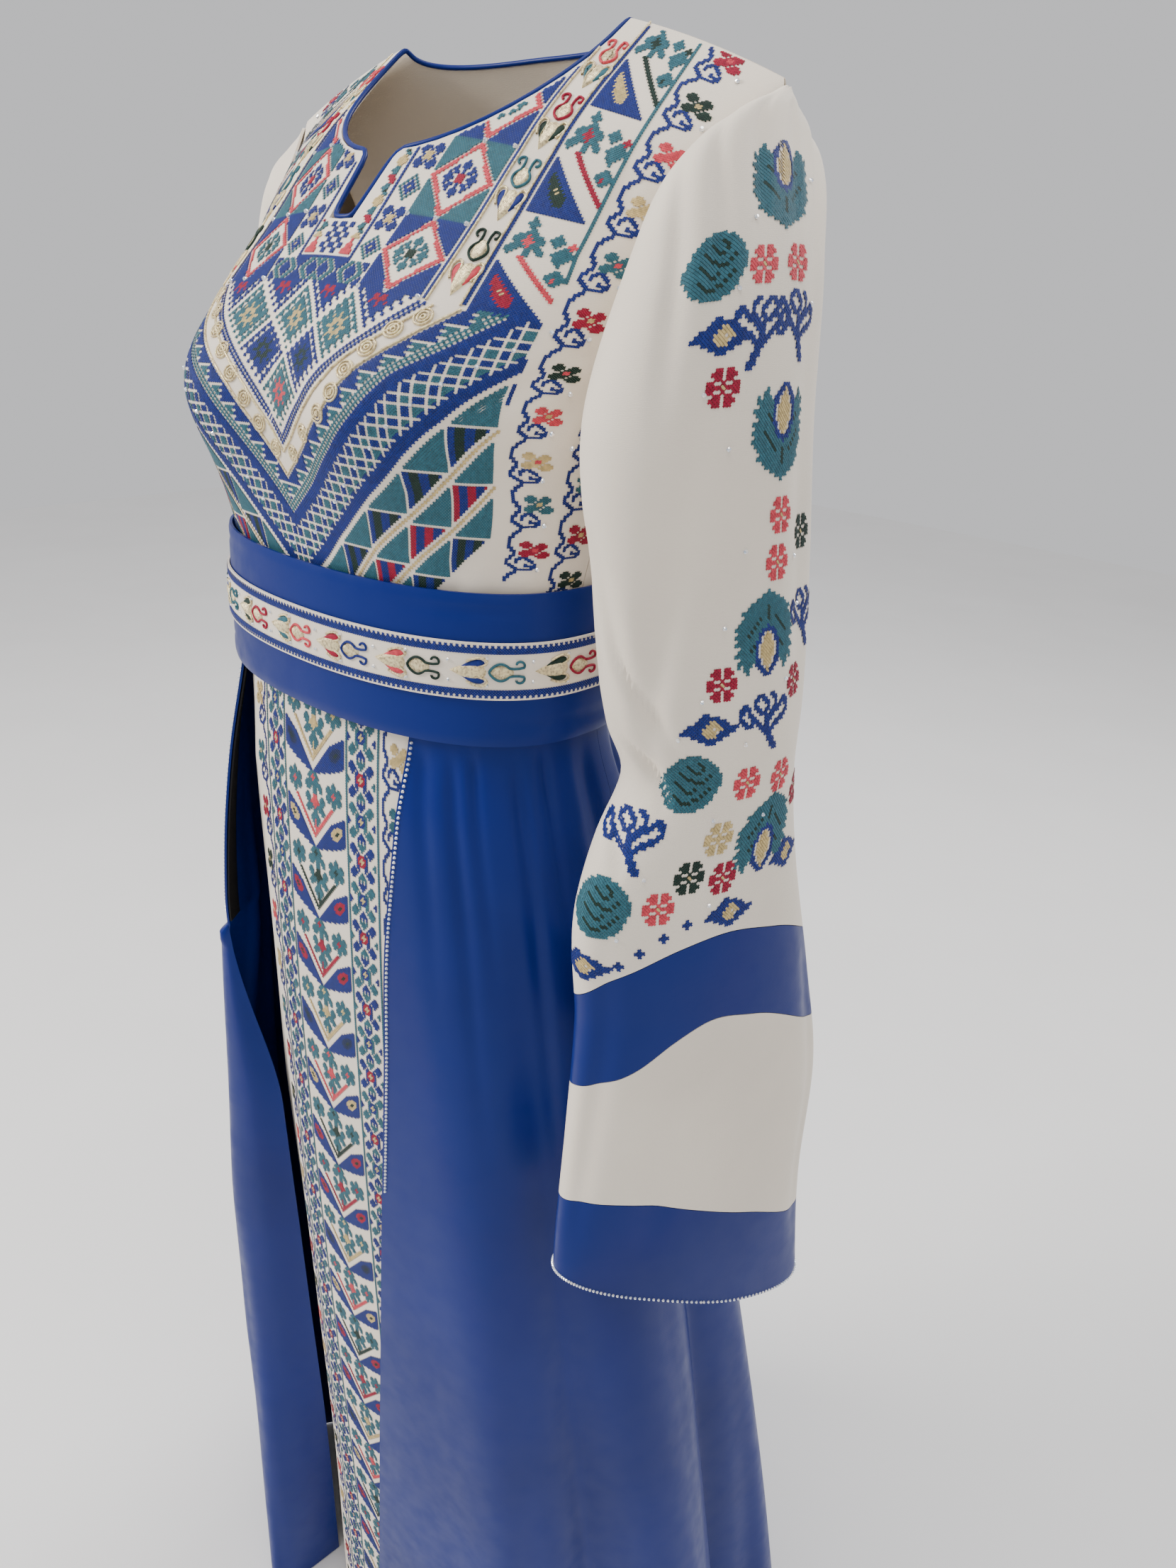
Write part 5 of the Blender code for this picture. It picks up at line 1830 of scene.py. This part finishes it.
def curl_line(x, y, side, wide, n=30):
    """Outline of a bulb that runs out into one open scroll."""
    t = np.linspace(0, 1, n)
    bulb = t < 0.48
    s = np.clip(t / 0.48, 0, 1)
    bx = x + 0.0125 * s
    by = y + side * (wide * np.sin(np.pi * np.clip(s * 0.93, 0, 1)) ** 0.75)
    k = np.clip((t - 0.48) / 0.52, 0, 1)
    turn = -np.pi / 2 + 4.6 * k
    radius = 0.0034 * (1 - 0.62 * k)
    cx, cy = x + 0.0185 - 0.0004 * k, y + side * 0.0046
    sx = cx - 0.0010 + radius * np.cos(turn) * 1.1
    sy = cy + side * radius * np.sin(turn)
    link = np.clip(k * 5, 0, 1)
    px = np.where(bulb, bx, bx[bulb][-1] * (1 - link) + sx * link)
    py = np.where(bulb, by, by[bulb][-1] * (1 - link) + sy * link)
    return np.stack([px, py], 1)


def couched_unit(x, leaf, scroll):
    """One drop with two leaves and one bulb with two scrolls.

    Returns mounds and cords in flat metres, with their threads.
    """
    hills = [(drop_line(x, 0.0, 0.0225, 0.0100), 0.0016, "gold"),
             (leaf_line(x + 0.0050, 0.0, 0.0165, 1), 0.0011, leaf),
             (leaf_line(x + 0.0050, 0.0, 0.0165, -1), 0.0011, leaf)]
    t = np.linspace(0, 2 * np.pi, 16, endpoint=False)
    bulb = np.stack([x + 0.0310 + 0.0072 * np.cos(t), 0.0044 * np.sin(t)], 1)
    hills.append((bulb, 0.0010, "gold"))
    lines = []
    for side in (1, -1):
        lines.append((curl_line(x + 0.0235, 0.0, side, 0.0052), scroll))
        lines.append((leaf_line(x + 0.0050, 0.0, 0.0175, side)[3:14] +
                      np.array([0, side * 0.0010]), "gold"))
    return hills, lines


UNIT = 0.0506             # one drop and bulb to the next
UNIT_THREADS = [("teal_thread", "coral_thread"),
                ("crimson_thread", "blue_thread"),
                ("coral_thread", "green_thread"),
                ("blue_thread", "teal_thread"),
                ("green_thread", "crimson_thread")]
COUCH_MATS = ["gold_thread"] + THREAD_ORDER


def couch(name, units, place):
    """Work a row of couched units: name, list of (start, leaf, scroll)."""
    number = {"gold": 0}
    number.update({t: k + 1 for k, t in enumerate(THREAD_ORDER)})
    hills, lines = [], []
    for x, leaf, scroll in units:
        h, c = couched_unit(x, leaf, scroll)
        hills += h
        lines += c
    mats = [material(m) for m in COUCH_MATS]
    filled = mounds(name + "_fillings", [(p, k) for p, k, _ in hills], place,
                    mats, [number[t] for _, _, t in hills])
    extra(filled)
    laid = cords(name + "_scrolls", [p for p, _ in lines], place, 0.00080,
                 mats, [number[t] for _, t in lines])
    extra(laid)
    return filled, laid


MEDALLIONS = [
    (102.5, 232), (91, 241.5), (82.5, 253.5), (76, 267), (71.5, 280),
    (62.5, 292.5), (43, 306), (23, 321), (0.5, 321), (-12.5, 308),
    (-24, 294.5), (-37, 281), (-49, 268), (-62, 255.5), (-75, 243),
    (-88, 231),
]
SHOULDER_X = [(0, 102.5), (40, 104), (80, 105), (120, 106), (160, 107.5),
              (215, 109), (222, 109)]


def couch_bodice(flat, front):
    """Couched bands of the shoulders, the braid and the crystals."""
    size = bpy.context.scene.dress_sizes
    for side, word in ((1, "left"), (-1, "right")):
        def down(x, y, side=side):
            py = 0.222 - x
            px = between(SHOULDER_X, py * 1000) / 1000
            return on_bodice(flat, side * (px + y), py)

        units = [(0.004 + UNIT * k, *UNIT_THREADS[(k + 2) % 5])
                 for k in range(4)]
        couch("bodice_%s_shoulder_band" % word, units, down)

    gold = material("gold_thread")
    lines = []
    for d in (55, 63):
        for side in (1, -1):
            v = np.linspace(1, d, 70) * PITCH
            x, y = eased(side * (d * PITCH - v), v)
            lines.append(np.stack([x, y], 1))
    rings = []
    for x, y in MEDALLIONS:
        for radius in (0.0048, 0.0030, 0.0012):
            t = np.linspace(0, 2 * np.pi, 17)
            rings.append(np.stack([x / 1000 + radius * np.cos(t),
                                   y / 1000 + radius * np.sin(t)], 1))
    for line in (50.9, 61.1):
        for side in (1, -1):
            v = np.linspace(-112, 0, 90) * PITCH
            x, y = eased(side * line * PITCH + 0 * v, v)
            a, h = locate(flat, x, y)
            spot = np.stack([a * ACROSS, h * ALONG], -1)
            ok = inside(spot, front)
            lines.append(np.stack([x, y], 1)[ok])
    braid = cords("bodice_gold_braid", lines + rings,
                  lambda x, y: on_bodice(flat, x, y), 0.0007, [gold],
                  [0] * (len(lines) + len(rings)))
    extra(braid)

    spots = []
    for iu in range(0, 92):
        for iv in range(1, 96):
            d = iu + iv
            if 86 <= d <= 94 and iu % 7 == 3 and (iv - 1) % 7 == 3:
                spots += [(iu, iv), (-iu, iv)]
    for k in range(5):
        for iu in (25, 36.5, 48):
            spots += [(iu, -27 * k - 0.5), (-iu, -27 * k - 0.5)]
    u, v = np.array(spots).T * PITCH
    x, y = eased(u, v)
    loose = np.array([
        (183, 20), (181, 67), (187, 117), (187, 155), (190, 195), (193, 232),
        (202, 268), (198, 292), (188, 318), (182, 345), (172, 372),
        (208, 240), (210, 300)]) / 1000
    x = np.concatenate([x, loose[:, 0], -loose[:, 0]])
    y = np.concatenate([y, loose[:, 1], loose[:, 1]])
    ok = on_front(flat, x, y, front, 0.003, BELT_LEVEL + 0.005)
    crystals("bodice_crystals", np.stack([x, y], 1)[ok],
             lambda x, y: on_bodice(flat, x, y), size.crystal_width)


def stitch_belt():
    """Teeth, drops, scrolls and crystals of the belt band."""
    top, foot = BRAID_TOP, BRAID_FOOT
    flat = unroll(sash, np.radians(np.linspace(-180, 180, 721)),
                  np.linspace(top, foot, 6))

    def place(x, y):
        a, _ = locate(flat, x, 0 * x)
        z = (top + foot) / 2 - y
        n = sash_normals(a, z)
        return sash(a, z) + n * (0.0023 + TRIM / 2), n

    start, end = flat_ends(flat)
    count = int(round((end - start) / UNIT))
    share = (end - start) / count
    units = [(start + share * k + 0.001, *UNIT_THREADS[(k + 2) % 5])
             for k in range(count)]
    couch("belt_band", units, place)
    pitch = 0.0017
    wide = int((end - start) / pitch / 2) * 2
    pitch = (end - start) / wide
    cells = []
    for side in (-1, 1):
        for c in range(wide):
            for r in range(c % 2, 3):
                cells.append((c, (9.0 - r) * side, 1))

    def lay(c, r):
        return place(start + (c + 0.5) * pitch, r * 0.0017)

    stitches("belt_band_teeth", cells, lay)
    spots = []
    for k in range(count):
        x = start + share * k
        spots += [(x + 0.0005, 0.0062), (x + 0.0005, -0.0062),
                  (x + 0.0235, 0.0085), (x + 0.0235, -0.0085)]
    crystals("belt_crystals", spots, place, SMALL_STONE)


def flat_ends(flat):
    """Where the closed band starts and ends on the flat tables."""
    xs, turn = flat["xs"], flat["turn"][0]
    whole = xs[(turn > -np.pi + 1e-4) & (turn < np.pi - 1e-4)]
    return whole[0], whole[-1]


PANEL_UNIT = picture("""
....................TTTTT....................
.......T...........TTTKTTT...........T.......
......TTT.........TTTKKKTTT.........TTT......
...TT.TTT.TT.......TTTKTTT.......TT.TTT.TT...
..TTTTTTTTTTT....TTTTTTTTTTT....TTTTTTTTTTT..
..TTTTTKTTTTT...TTTTTTTTTTTTT...TTTTTKTTTTT..
...TTTKKKTTT....TTTTT.TTT.TTT....TTTKKKTTT...
..TTTTTKTTTTT....TTT..TTT..TT...TTTTTKTTTTT..
..TTTTTTTTTTT.........TTT.......TTTTTTTTTTT..
...TT.TTT.TT.....TT...KKK...TT...TT.TTT.TT...
......TTT.......TTTT..KKK..TTTT.....TTT......
.......T........TTTT.KKKKK.TTTT......T.......
........KK.......TTTKKKKKKKTTT.....KK........
.........KK.......TTTTKKKTTTT.....KK.........
BB........KK.....TTTTTTKTTTTTT...KK........BB
BBBB.......KK...TTTTT.TTT.TTTTT.KK.......BBBB
BBBBBB......KK...TT...TTT...TT.KK......BBBBBB
BBBBBBBB.....KK......TTTTT....KK.....BBBBBBBB
BBRRRRBBBB....KK....TTTTTTT..KK....BBBBRRRRBB
BBRRRRRRBBB....KK...TTTKTTT.KK....BBBRRRRRRBB
BBRRGGRRRBBB....KK...TTKTT.KK....BBBRRRGGRRBB
BBBRRGGRRRBBB....KK...TKT.KK....BBBRRRGGRRBBB
BBBBRRRRRRBBBB....KK..KKKKK....BBBBRRRRRRBBBB
BBBBBRRRRBBBBBB....KK..KKK....BBBBBBRRRRBBBBB
BBBBBBBBBBBBBBBB....KK.KK....BBBBBBBBBBBBBBBB
.BBBBBBBBBBBBBBBB....KKK....BBBBBBBBBBBBBBBB.
...BBBBBBBBBBBBBBB....K....BBBBBBBBBBBBBBB...
......BBBBBBBBBBBBB.......BBBBBBBBBBBBB......
.........BBBBBBBBBBB.....BBBBBBBBBBB.........
.............BBBBBBBB...BBBBBBBB.............
.................BBBBB.BBBBB.................
""")
SIDE_STAR = picture("""
......T.T.T......
..BB..TTTTT..BB..
.BBBB..TTT..BBBB.
.BBBBB..T..BBBBB.
..BBB.B...B.BBB..
...B.BBRRRBB.B...
.....BRRYRRB.....
T....BRYYYRB....T
TT...BRRYRRB...TT
T....BBRRRBB....T
...B.BB...BB.B...
..BBB.B...B.BBB..
.BBBBB..T..BBBBB.
.BBBB..TTT..BBBB.
..BB..TTTTT..BB..
......T.T.T......
""")
PANEL_REPEATS = [("Y", "N"), ("K", "Y"), ("G", "R"), ("R", "R")]
PANEL_PITCH, PANEL_PITCH_X = 0.00187, 0.00152


def stitch_skirt():
    """Flowers, star columns and vines of the long front panel."""
    us = np.radians(np.linspace(-75, 60, 240))
    zs = np.linspace(SKIRT_TOP, HEM_Z, 300)
    flat = unroll(lambda a, z: skirt(a, z), us, zs)

    def place(c, r):
        a, z = locate(flat, c * PANEL_PITCH_X, r * PANEL_PITCH)
        p, n = panel_place(a, z)
        return p + n * WALL / 2, n

    grid = np.zeros((612, 151), int)
    mid = 75
    for k in range(20):
        stem, heart = PANEL_REPEATS[k % 4]
        art = PANEL_UNIT.copy()
        art[PANEL_UNIT == CODES["K"]] = CODES[stem]
        art[PANEL_UNIT == CODES["R"]] = CODES[heart]
        stamp(grid, art, 21 + 31 * k, mid - 22)
    for side in (1, -1):
        for k in range(38):
            art = SIDE_STAR if k % 2 == 0 else recolour(
                SIDE_STAR, B="T", T="B", R="B")
            col = mid + 25 if side > 0 else mid - 25 - 16
            stamp(grid, art, 16 * k + 8, col)
        for k in range(26):
            art = recolour(VINE, K=FLORETS[(k + 2) % 10], Y="Y")
            col = mid + 45 if side > 0 else mid - 45 - 16
            stamp(grid, art, 24 * k + 6, col, flip=side < 0)
    for col in (24, 43):
        grid[:, mid + col] = CODES["T"]
        grid[:, mid - col] = CODES["T"]
    rows, cols = np.nonzero(grid)
    cells = np.stack([cols - mid, rows, grid[rows, cols]], 1)
    a, z = locate(flat, cells[:, 0] * PANEL_PITCH_X,
                  cells[:, 1] * PANEL_PITCH)
    edge = column(LEFT_EDGE, 1, z, sign=-1.0)
    start, _ = panel_start(z)
    deg = np.degrees(a)
    keep = (z < -0.400) & (z > HEM_Z + 0.012)
    keep &= (deg < edge + 1.0) & (deg > start + 0.6)
    stitches("skirt_panel_cross_stitch", cells[keep], place)

    z = np.linspace(-0.408, -0.78, 104)
    a = np.radians(column(LEFT_EDGE, 1, z, sign=-1.0) + 1.0)
    spots = np.stack([a, z], 1)

    def on_left(x, y):
        n = skirt_normals(x, y)
        lift = over_layer(y) - skirt_depth(x, y) + WALL / 2
        return skirt(x, y) + n * lift[..., None], n

    crystals("left_flap_crystals", spots, on_left, SMALL_STONE)
    z = np.linspace(-0.412, -0.62, 58)
    spots = np.stack([0 * z + 0.012, z], 1)

    def on_right(x, y):
        p = np.concatenate([right_flap(np.array([[u]]), np.array([[v]]))[0]
                            for u, v in zip(x, y)])
        n = np.concatenate([flap_normals(np.array([[u]]), np.array([[v]]))[0]
                            for u, v in zip(x, y)])
        return p + n * WALL / 2, n

    crystals("right_flap_crystals", spots, on_right, SMALL_STONE)


CARNATION = picture("""
..........BBB..........
....T....BBYBB....T....
...TT...BB.Y.BB...TT...
.T.TTT.BB.YYY.BB.TTT.T.
.TTTTTTBB.YYY.BBTTTTTT.
..TTTTTB.YYYYY.BTTTTT..
TTTTTTTB.YYYYY.BTTTTTTT
.TTTTGTB.YYYYY.BTGTTTT.
..TTTTGB.YYYYY.BGTTTT..
TTTTTTTBB.YYY.BBTTTTTTT
.TTTTTTTB.YYY.BTTTTTTT.
TTTTGTTTBB.Y.BBTTTGTTTT
.TTTTGTTTBBBBBTTTGTTTT.
TTTTTTGTTTTBTTTTGTTTTTT
.TTTTTTGTTTTTTTGTTTTTT.
..TTTTTTGTTGTTGTTTTTT..
...TTTTTTTTGTTTTTTTT...
..TTTTTTTTTGTTTTTTTTT..
....TTTTTTTGTTTTTTT....
.....TTTTTTTTTTTTT.....
.......TTTTTTTTT.......
.........TTTTT.........
...........T...........
""")
ROSE = picture("""
......TTTT.......
....TTTTTTTT.....
...TTTGTTTTTT....
..TTTGTTTGTTTT...
.TTTTGTTGTTTTTT..
.TTTTTGGTTTGTTT..
TTTGTTTTTTGTTTTT.
TTTTGTTTGGTTTTTT.
TTTTTGGGTTTTGTTTT
TTTTTTTTTTTGTTTTT
.TTGTTTGTTGTTTTTT
.TTTGTTTGGTTTTTT.
..TTTGTTTTTTGTTT.
..TTTTGGTTTGTTT..
...TTTTTGGGTTTT..
....TTTTTTTTTT...
......TTTTTT.....
""")
FLORET = picture("""
..KK.KK..
.KKK.KKK.
..KK.KK..
KK..K..KK
KKKKYKKKK
KK..K..KK
..KK.KK..
.KKK.KKK.
..KK.KK..
""")
BRANCH = picture("""
......BB..BBB......
.....BB..BB.BB.....
.BB..B..BB...B..BB.
BBBB.B..B...BB.BBBB
BB.BBBB.BB.BB..B.BB
B...BBBB.BBB..BB..B
BB....BBBB...BB..BB
.BBB...BBB..BBB.BB.
..BBBB..BB.BB.BBB..
....BBB.BBBB.......
......BBBBB........
.......BBB.........
.......BB..........
......BBB..........
......BB...........
.....BBB...........
.....BB............
""")
BLUE_LEAF = picture("""
.........BB......
......BBBBBB.....
....BBBYYBBBB....
...BBBYYYYBBBBB..
BBBBBYY.YYYBBBBB.
.BBBBB.YYYYBBBBBB
...BBBBYYYBBBB...
.....BBBBBBB.....
.......BBB.......
""")
CROSSLET = picture("""
.B.
BBB
.B.
""")
SLEEVE_PITCH = 0.00215    # the sleeve's larger stitches
SLEEVE_WORK = [     # motif, mm to the front, mm down, threads changed
    (CARNATION, -2, 66, {}), (ROSE, 44, 108, {}),
    (FLORET, -15, 108, {}), (FLORET, 12, 110, {}),
    (BRANCH, -20, 140, {}), (BRANCH[:, ::-1], 9, 143, {}),
    (BLUE_LEAF, 34, 143, {}), (FLORET, 30, 170, {"K": "R"}),
    (CARNATION, -16, 194, {}), (FLORET, -18, 236, {}),
    (FLORET, -15, 262, {}), (CARNATION[::-1], -8, 302, {}),
    (FLORET, 24, 326, {"K": "R"}), (FLORET, -38, 335, {"K": "R"}),
    (BLUE_LEAF, 30, 352, {}), (BRANCH, -8, 354, {}),
    (ROSE, 40, 386, {}), (FLORET, 4, 392, {}), (FLORET, -26, 394, {}),
    (BRANCH, 70, 424, {}), (CARNATION[::-1], -24, 428, {}),
    (FLORET, 14, 424, {"K": "Y"}), (FLORET, 6, 450, {"K": "R"}),
    (FLORET, 30, 446, {"K": "G"}), (FLORET, 48, 462, {}),
    (ROSE, 82, 462, {}), (BLUE_LEAF, -2, 474, {}),
    (CROSSLET, 28, 476, {}), (CROSSLET, 42, 482, {}),
    (CROSSLET, 57, 490, {}), (CROSSLET, 71, 498, {}),
    (BLUE_LEAF, 92, 500, {}), (FLORET, -48, 250, {"K": "G"}),
    (BRANCH, -52, 300, {}), (FLORET, -56, 410, {"K": "R"}),
    (BLUE_LEAF, -52, 450, {}),
]


def stitch_sleeve(side):
    """Flowers of one sleeve and the crystals round its cuff."""
    word = "left" if side > 0 else "right"
    us, vs = np.linspace(-150, 150, 241), np.linspace(0.02, 1.02, 260)
    flat = unroll(lambda a, t: sleeve(a, t, side), us, vs)
    start = flat["down"][0]

    def on_sleeve(a, t):
        n = sleeve_outward(a, t, side)
        return sleeve_cloth(a, t, side) + n * WALL / 2, n

    def place(c, r):
        return on_sleeve(*locate(flat, c * SLEEVE_PITCH, r * SLEEVE_PITCH))

    cells = {}
    for art, x, y, swap in SLEEVE_WORK:
        art = recolour(art, **swap) if swap else art
        c0 = int(round(x / 1000 / SLEEVE_PITCH)) - art.shape[1] // 2
        r0 = int(round((start + y / 1000) / SLEEVE_PITCH)) - art.shape[0] // 2
        for r, c in zip(*np.nonzero(art)):
            cells[(c0 + c, r0 + r)] = art[r, c]
    cells = np.array([(c, r, k) for (c, r), k in cells.items()])
    a, t = locate(flat, cells[:, 0] * SLEEVE_PITCH, cells[:, 1] * SLEEVE_PITCH)
    keep = (t > 0.03) & (t < around(BAND_TOP, a) - 0.004)
    stitches("sleeve_%s_cross_stitch" % word, cells[keep], place)

    ring = np.arange(0, 360, 2.2)
    spots = np.stack([ring, around(CUFF_END, ring) - 0.0022], 1)

    crystals("cuff_%s_crystals" % word, spots, on_sleeve, CUFF_STONE)
    loose = [(32, 0.205), (-30, 0.16), (18, 0.235), (8, 0.30), (-28, 0.31),
             (18, 0.35), (-22, 0.395), (30, 0.40), (44, 0.43), (6, 0.44),
             (20, 0.505), (-14, 0.51), (48, 0.545), (10, 0.572), (56, 0.592),
             (16, 0.12), (-24, 0.095), (22, 0.155), (-36, 0.345)]
    crystals("sleeve_%s_crystals" % word, loose, on_sleeve, SLEEVE_STONE)


def sleeve_outward(theta, t, side):
    """Normals of the sleeve, facing away from its centre line."""
    n = sleeve_normals(theta, t, side)
    away = sleeve(theta, t, side) - sleeve_middle(t, side)
    return n * np.sign((n * away).sum(-1))[..., None]


def sleeve_middle(t, side):
    """Centre line of the sleeve."""
    middle = np.stack([column(SLEEVE, k, t) for k in (1, 2, 3)], -1)
    middle = middle * np.array([side, 1.0, 1.0])
    if side < 0:
        middle[..., 1] += column(RIGHT_ARM, 1, t)
        middle[..., 2] += column(RIGHT_ARM, 2, t)
    return middle


def make_stage():
    """Plain pale floor, soft lights and the camera."""
    scene = bpy.context.scene
    floor_z = CAD_BOX[0][2] - 0.002
    size = 6.0
    n = 24
    xs = np.linspace(-size, size, n)
    gx, gy = np.meshgrid(xs, xs)
    points = np.stack([gx, gy, np.full_like(gx, floor_z)], -1)
    r, c = np.meshgrid(np.arange(n - 1), np.arange(n - 1), indexing="ij")
    faces = np.stack([r * n + c, r * n + c + 1, (r + 1) * n + c + 1,
                      (r + 1) * n + c], -1).reshape(-1, 4)
    mat, nodes, links, shader, where = new_material(
        "pale_floor", (0.90, 0.89, 0.88), 0.80)
    tone = noise(nodes, links, where, 3.0, 3.0)
    links.new(ramp(nodes, links, tone, [
        (0.3, (0.89, 0.88, 0.87)), (0.7, (0.92, 0.91, 0.90))]),
        shader.inputs["Base Color"])
    floor = solid_mesh("floor", points.reshape(-1, 3), faces, [mat])

    world = bpy.data.worlds.new("soft_room")
    world.use_nodes = True
    back = world.node_tree.nodes["Background"]
    back.inputs["Color"].default_value = (0.86, 0.86, 0.88, 1)
    back.inputs["Strength"].default_value = 0.80
    scene.world = world
    lamps = [
        ("key", (-1.9, -2.2, 1.3), 1.3, 112, (1.0, 0.97, 0.93)),
        ("fill", (2.6, -1.8, 0.6), 2.2, 10, (0.93, 0.96, 1.0)),
        ("back", (0.4, 2.6, 1.6), 2.0, 60, (1.0, 1.0, 1.0)),
        ("top", (0.2, -0.4, 2.2), 1.6, 36, (1.0, 0.99, 0.97)),
    ]
    for name, place, width, power, colour in lamps:
        data = bpy.data.lights.new(name, "AREA")
        data.shape, data.size = "DISK", width
        data.energy, data.color = power, colour
        lamp = bpy.data.objects.new(name, data)
        lamp.location = place
        aim = Vector((0.0, -0.05, -0.55)) - Vector(place)
        lamp.rotation_euler = aim.to_track_quat("-Z", "Y").to_euler()
        scene.collection.objects.link(lamp)

    data = bpy.data.cameras.new("camera")
    data.sensor_width, data.lens = 36.0, 26.784
    camera = bpy.data.objects.new("camera", data)
    camera.location = (0.6295, -0.5787, -0.1294)
    camera.rotation_euler = [math.radians(a) for a in (65.856, -2.634, 43.75)]
    scene.collection.objects.link(camera)
    scene.camera = camera


COLOURS = [     # name, label, what it is, colour
    ("cream", "Crepe", "Colour of the cream crepe",
     (0.82, 0.735, 0.62)),
    ("blue", "Satin", "Colour of the blue satin",
     (0.0016, 0.0135, 0.150)),
    # Near-black: painted shade for the inside of the right flap.
    ("black", "Facing", "Colour of the flap's facing",
     (0.004, 0.004, 0.005)),
    ("gold", "Gold cord", "Colour of the couched metal thread",
     (0.88, 0.72, 0.42)),
    ("blue_thread", "Blue thread", "Royal blue cotton",
     (0.008, 0.022, 0.180)),
    ("teal_thread", "Teal thread", "Soft teal cotton",
     (0.030, 0.125, 0.165)),
    ("coral_thread", "Coral thread", "Coral cotton",
     (0.640, 0.060, 0.085)),
    ("crimson_thread", "Crimson thread", "Crimson cotton",
     (0.330, 0.007, 0.036)),
    ("green_thread", "Dark green thread", "Dark green cotton",
     (0.008, 0.028, 0.020)),
    ("straw_thread", "Straw thread", "Pale gold cotton",
     (0.600, 0.450, 0.200)),
    ("navy_thread", "Navy thread", "Navy cotton",
     (0.010, 0.020, 0.075)),
]


class DressColours(bpy.types.PropertyGroup):
    """Colours of the cloth and the threads"""
    __annotations__ = {
        key: bpy.props.FloatVectorProperty(
            name=label, description=text, subtype="COLOR", default=colour,
            min=0, max=1)
        for key, label, text, colour in COLOURS}


class DressSizes(bpy.types.PropertyGroup):
    """Sizes of the trimmings"""
    stitch_height: bpy.props.FloatProperty(
        name="Stitch height", description="How far the stitches stand up",
        unit="LENGTH", default=0.0005, min=0.0002, max=0.002)
    crystal_width: bpy.props.FloatProperty(
        name="Crystal width", description="Width of the small crystals",
        unit="LENGTH", default=0.0030, min=0.001, max=0.006)


class DRESS_OT_bodice(bpy.types.Operator):
    """Cut the bodice front and back, the neck facing and the neck cord"""
    bl_idname = "dress.bodice"
    bl_label = "Bodice"

    def execute(self, context):
        make_bodice()
        return {"FINISHED"}


class DRESS_OT_sleeves(bpy.types.Operator):
    """Make both sleeves with their bands, panels and cuffs"""
    bl_idname = "dress.sleeves"
    bl_label = "Sleeves"

    def execute(self, context):
        for side in (1, -1):
            make_sleeve(side)
        return {"FINISHED"}


class DRESS_OT_belt(bpy.types.Operator):
    """Wrap the satin sash and its cream band"""
    bl_idname = "dress.belt"
    bl_label = "Belt"

    def execute(self, context):
        make_belt()
        return {"FINISHED"}


class DRESS_OT_skirt(bpy.types.Operator):
    """Hang the front panel, the overskirt and the near-black sheet of painted shade inside
    its flap
    """
    bl_idname = "dress.skirt"
    bl_label = "Skirt"

    def execute(self, context):
        make_skirt()
        return {"FINISHED"}


class DRESS_OT_bodice_stitching(bpy.types.Operator):
    """Work the cross stitch, couched cord and crystals of the bodice"""
    bl_idname = "dress.bodice_stitching"
    bl_label = "Bodice stitching"

    def execute(self, context):
        stitch_bodice()
        return {"FINISHED"}


class DRESS_OT_sleeve_stitching(bpy.types.Operator):
    """Work the flowers of both sleeves and the crystals of the cuffs"""
    bl_idname = "dress.sleeve_stitching"
    bl_label = "Sleeve stitching"

    def execute(self, context):
        for side in (1, -1):
            stitch_sleeve(side)
        return {"FINISHED"}


class DRESS_OT_belt_stitching(bpy.types.Operator):
    """Work the gold drops, scrolls and edges of the belt band"""
    bl_idname = "dress.belt_stitching"
    bl_label = "Belt stitching"

    def execute(self, context):
        stitch_belt()
        return {"FINISHED"}


class DRESS_OT_skirt_stitching(bpy.types.Operator):
    """Work the long panel of the skirt"""
    bl_idname = "dress.skirt_stitching"
    bl_label = "Skirt stitching"

    def execute(self, context):
        stitch_skirt()
        return {"FINISHED"}


class DRESS_OT_stage(bpy.types.Operator):
    """Set up the floor, the soft studio light and the camera"""
    bl_idname = "dress.stage"
    bl_label = "Stage"

    def execute(self, context):
        make_stage()
        return {"FINISHED"}


class DRESS_PT_panel(bpy.types.Panel):
    """Lists the steps of the dress"""
    bl_idname = "DRESS_PT_panel"
    bl_label = "Dress"
    bl_space_type = "VIEW_3D"
    bl_region_type = "UI"
    bl_category = "Dress"

    def draw(self, context):
        look, size = context.scene.dress_colours, context.scene.dress_sizes
        for group in (look, size):
            for name in group.__annotations__:
                self.layout.prop(group, name)
        for step in STEPS:
            self.layout.operator(step.bl_idname)


STEPS = (DRESS_OT_bodice, DRESS_OT_sleeves, DRESS_OT_belt, DRESS_OT_skirt,
         DRESS_OT_bodice_stitching, DRESS_OT_sleeve_stitching,
         DRESS_OT_belt_stitching, DRESS_OT_skirt_stitching, DRESS_OT_stage)
CLASSES = (DressColours, DressSizes, *STEPS, DRESS_PT_panel)


def register():
    for cls in CLASSES:
        bpy.utils.register_class(cls)
    bpy.types.Scene.dress_colours = bpy.props.PointerProperty(
        type=DressColours)
    bpy.types.Scene.dress_sizes = bpy.props.PointerProperty(type=DressSizes)


def unregister():
    del bpy.types.Scene.dress_sizes
    del bpy.types.Scene.dress_colours
    for cls in reversed(CLASSES):
        bpy.utils.unregister_class(cls)


def main():
    register()
    bpy.ops.dress.bodice()
    bpy.ops.dress.sleeves()
    bpy.ops.dress.belt()
    bpy.ops.dress.skirt()
    bpy.ops.dress.bodice_stitching()
    bpy.ops.dress.sleeve_stitching()
    bpy.ops.dress.belt_stitching()
    bpy.ops.dress.skirt_stitching()
    bpy.ops.dress.stage()


if __name__ == "__main__":
    main()
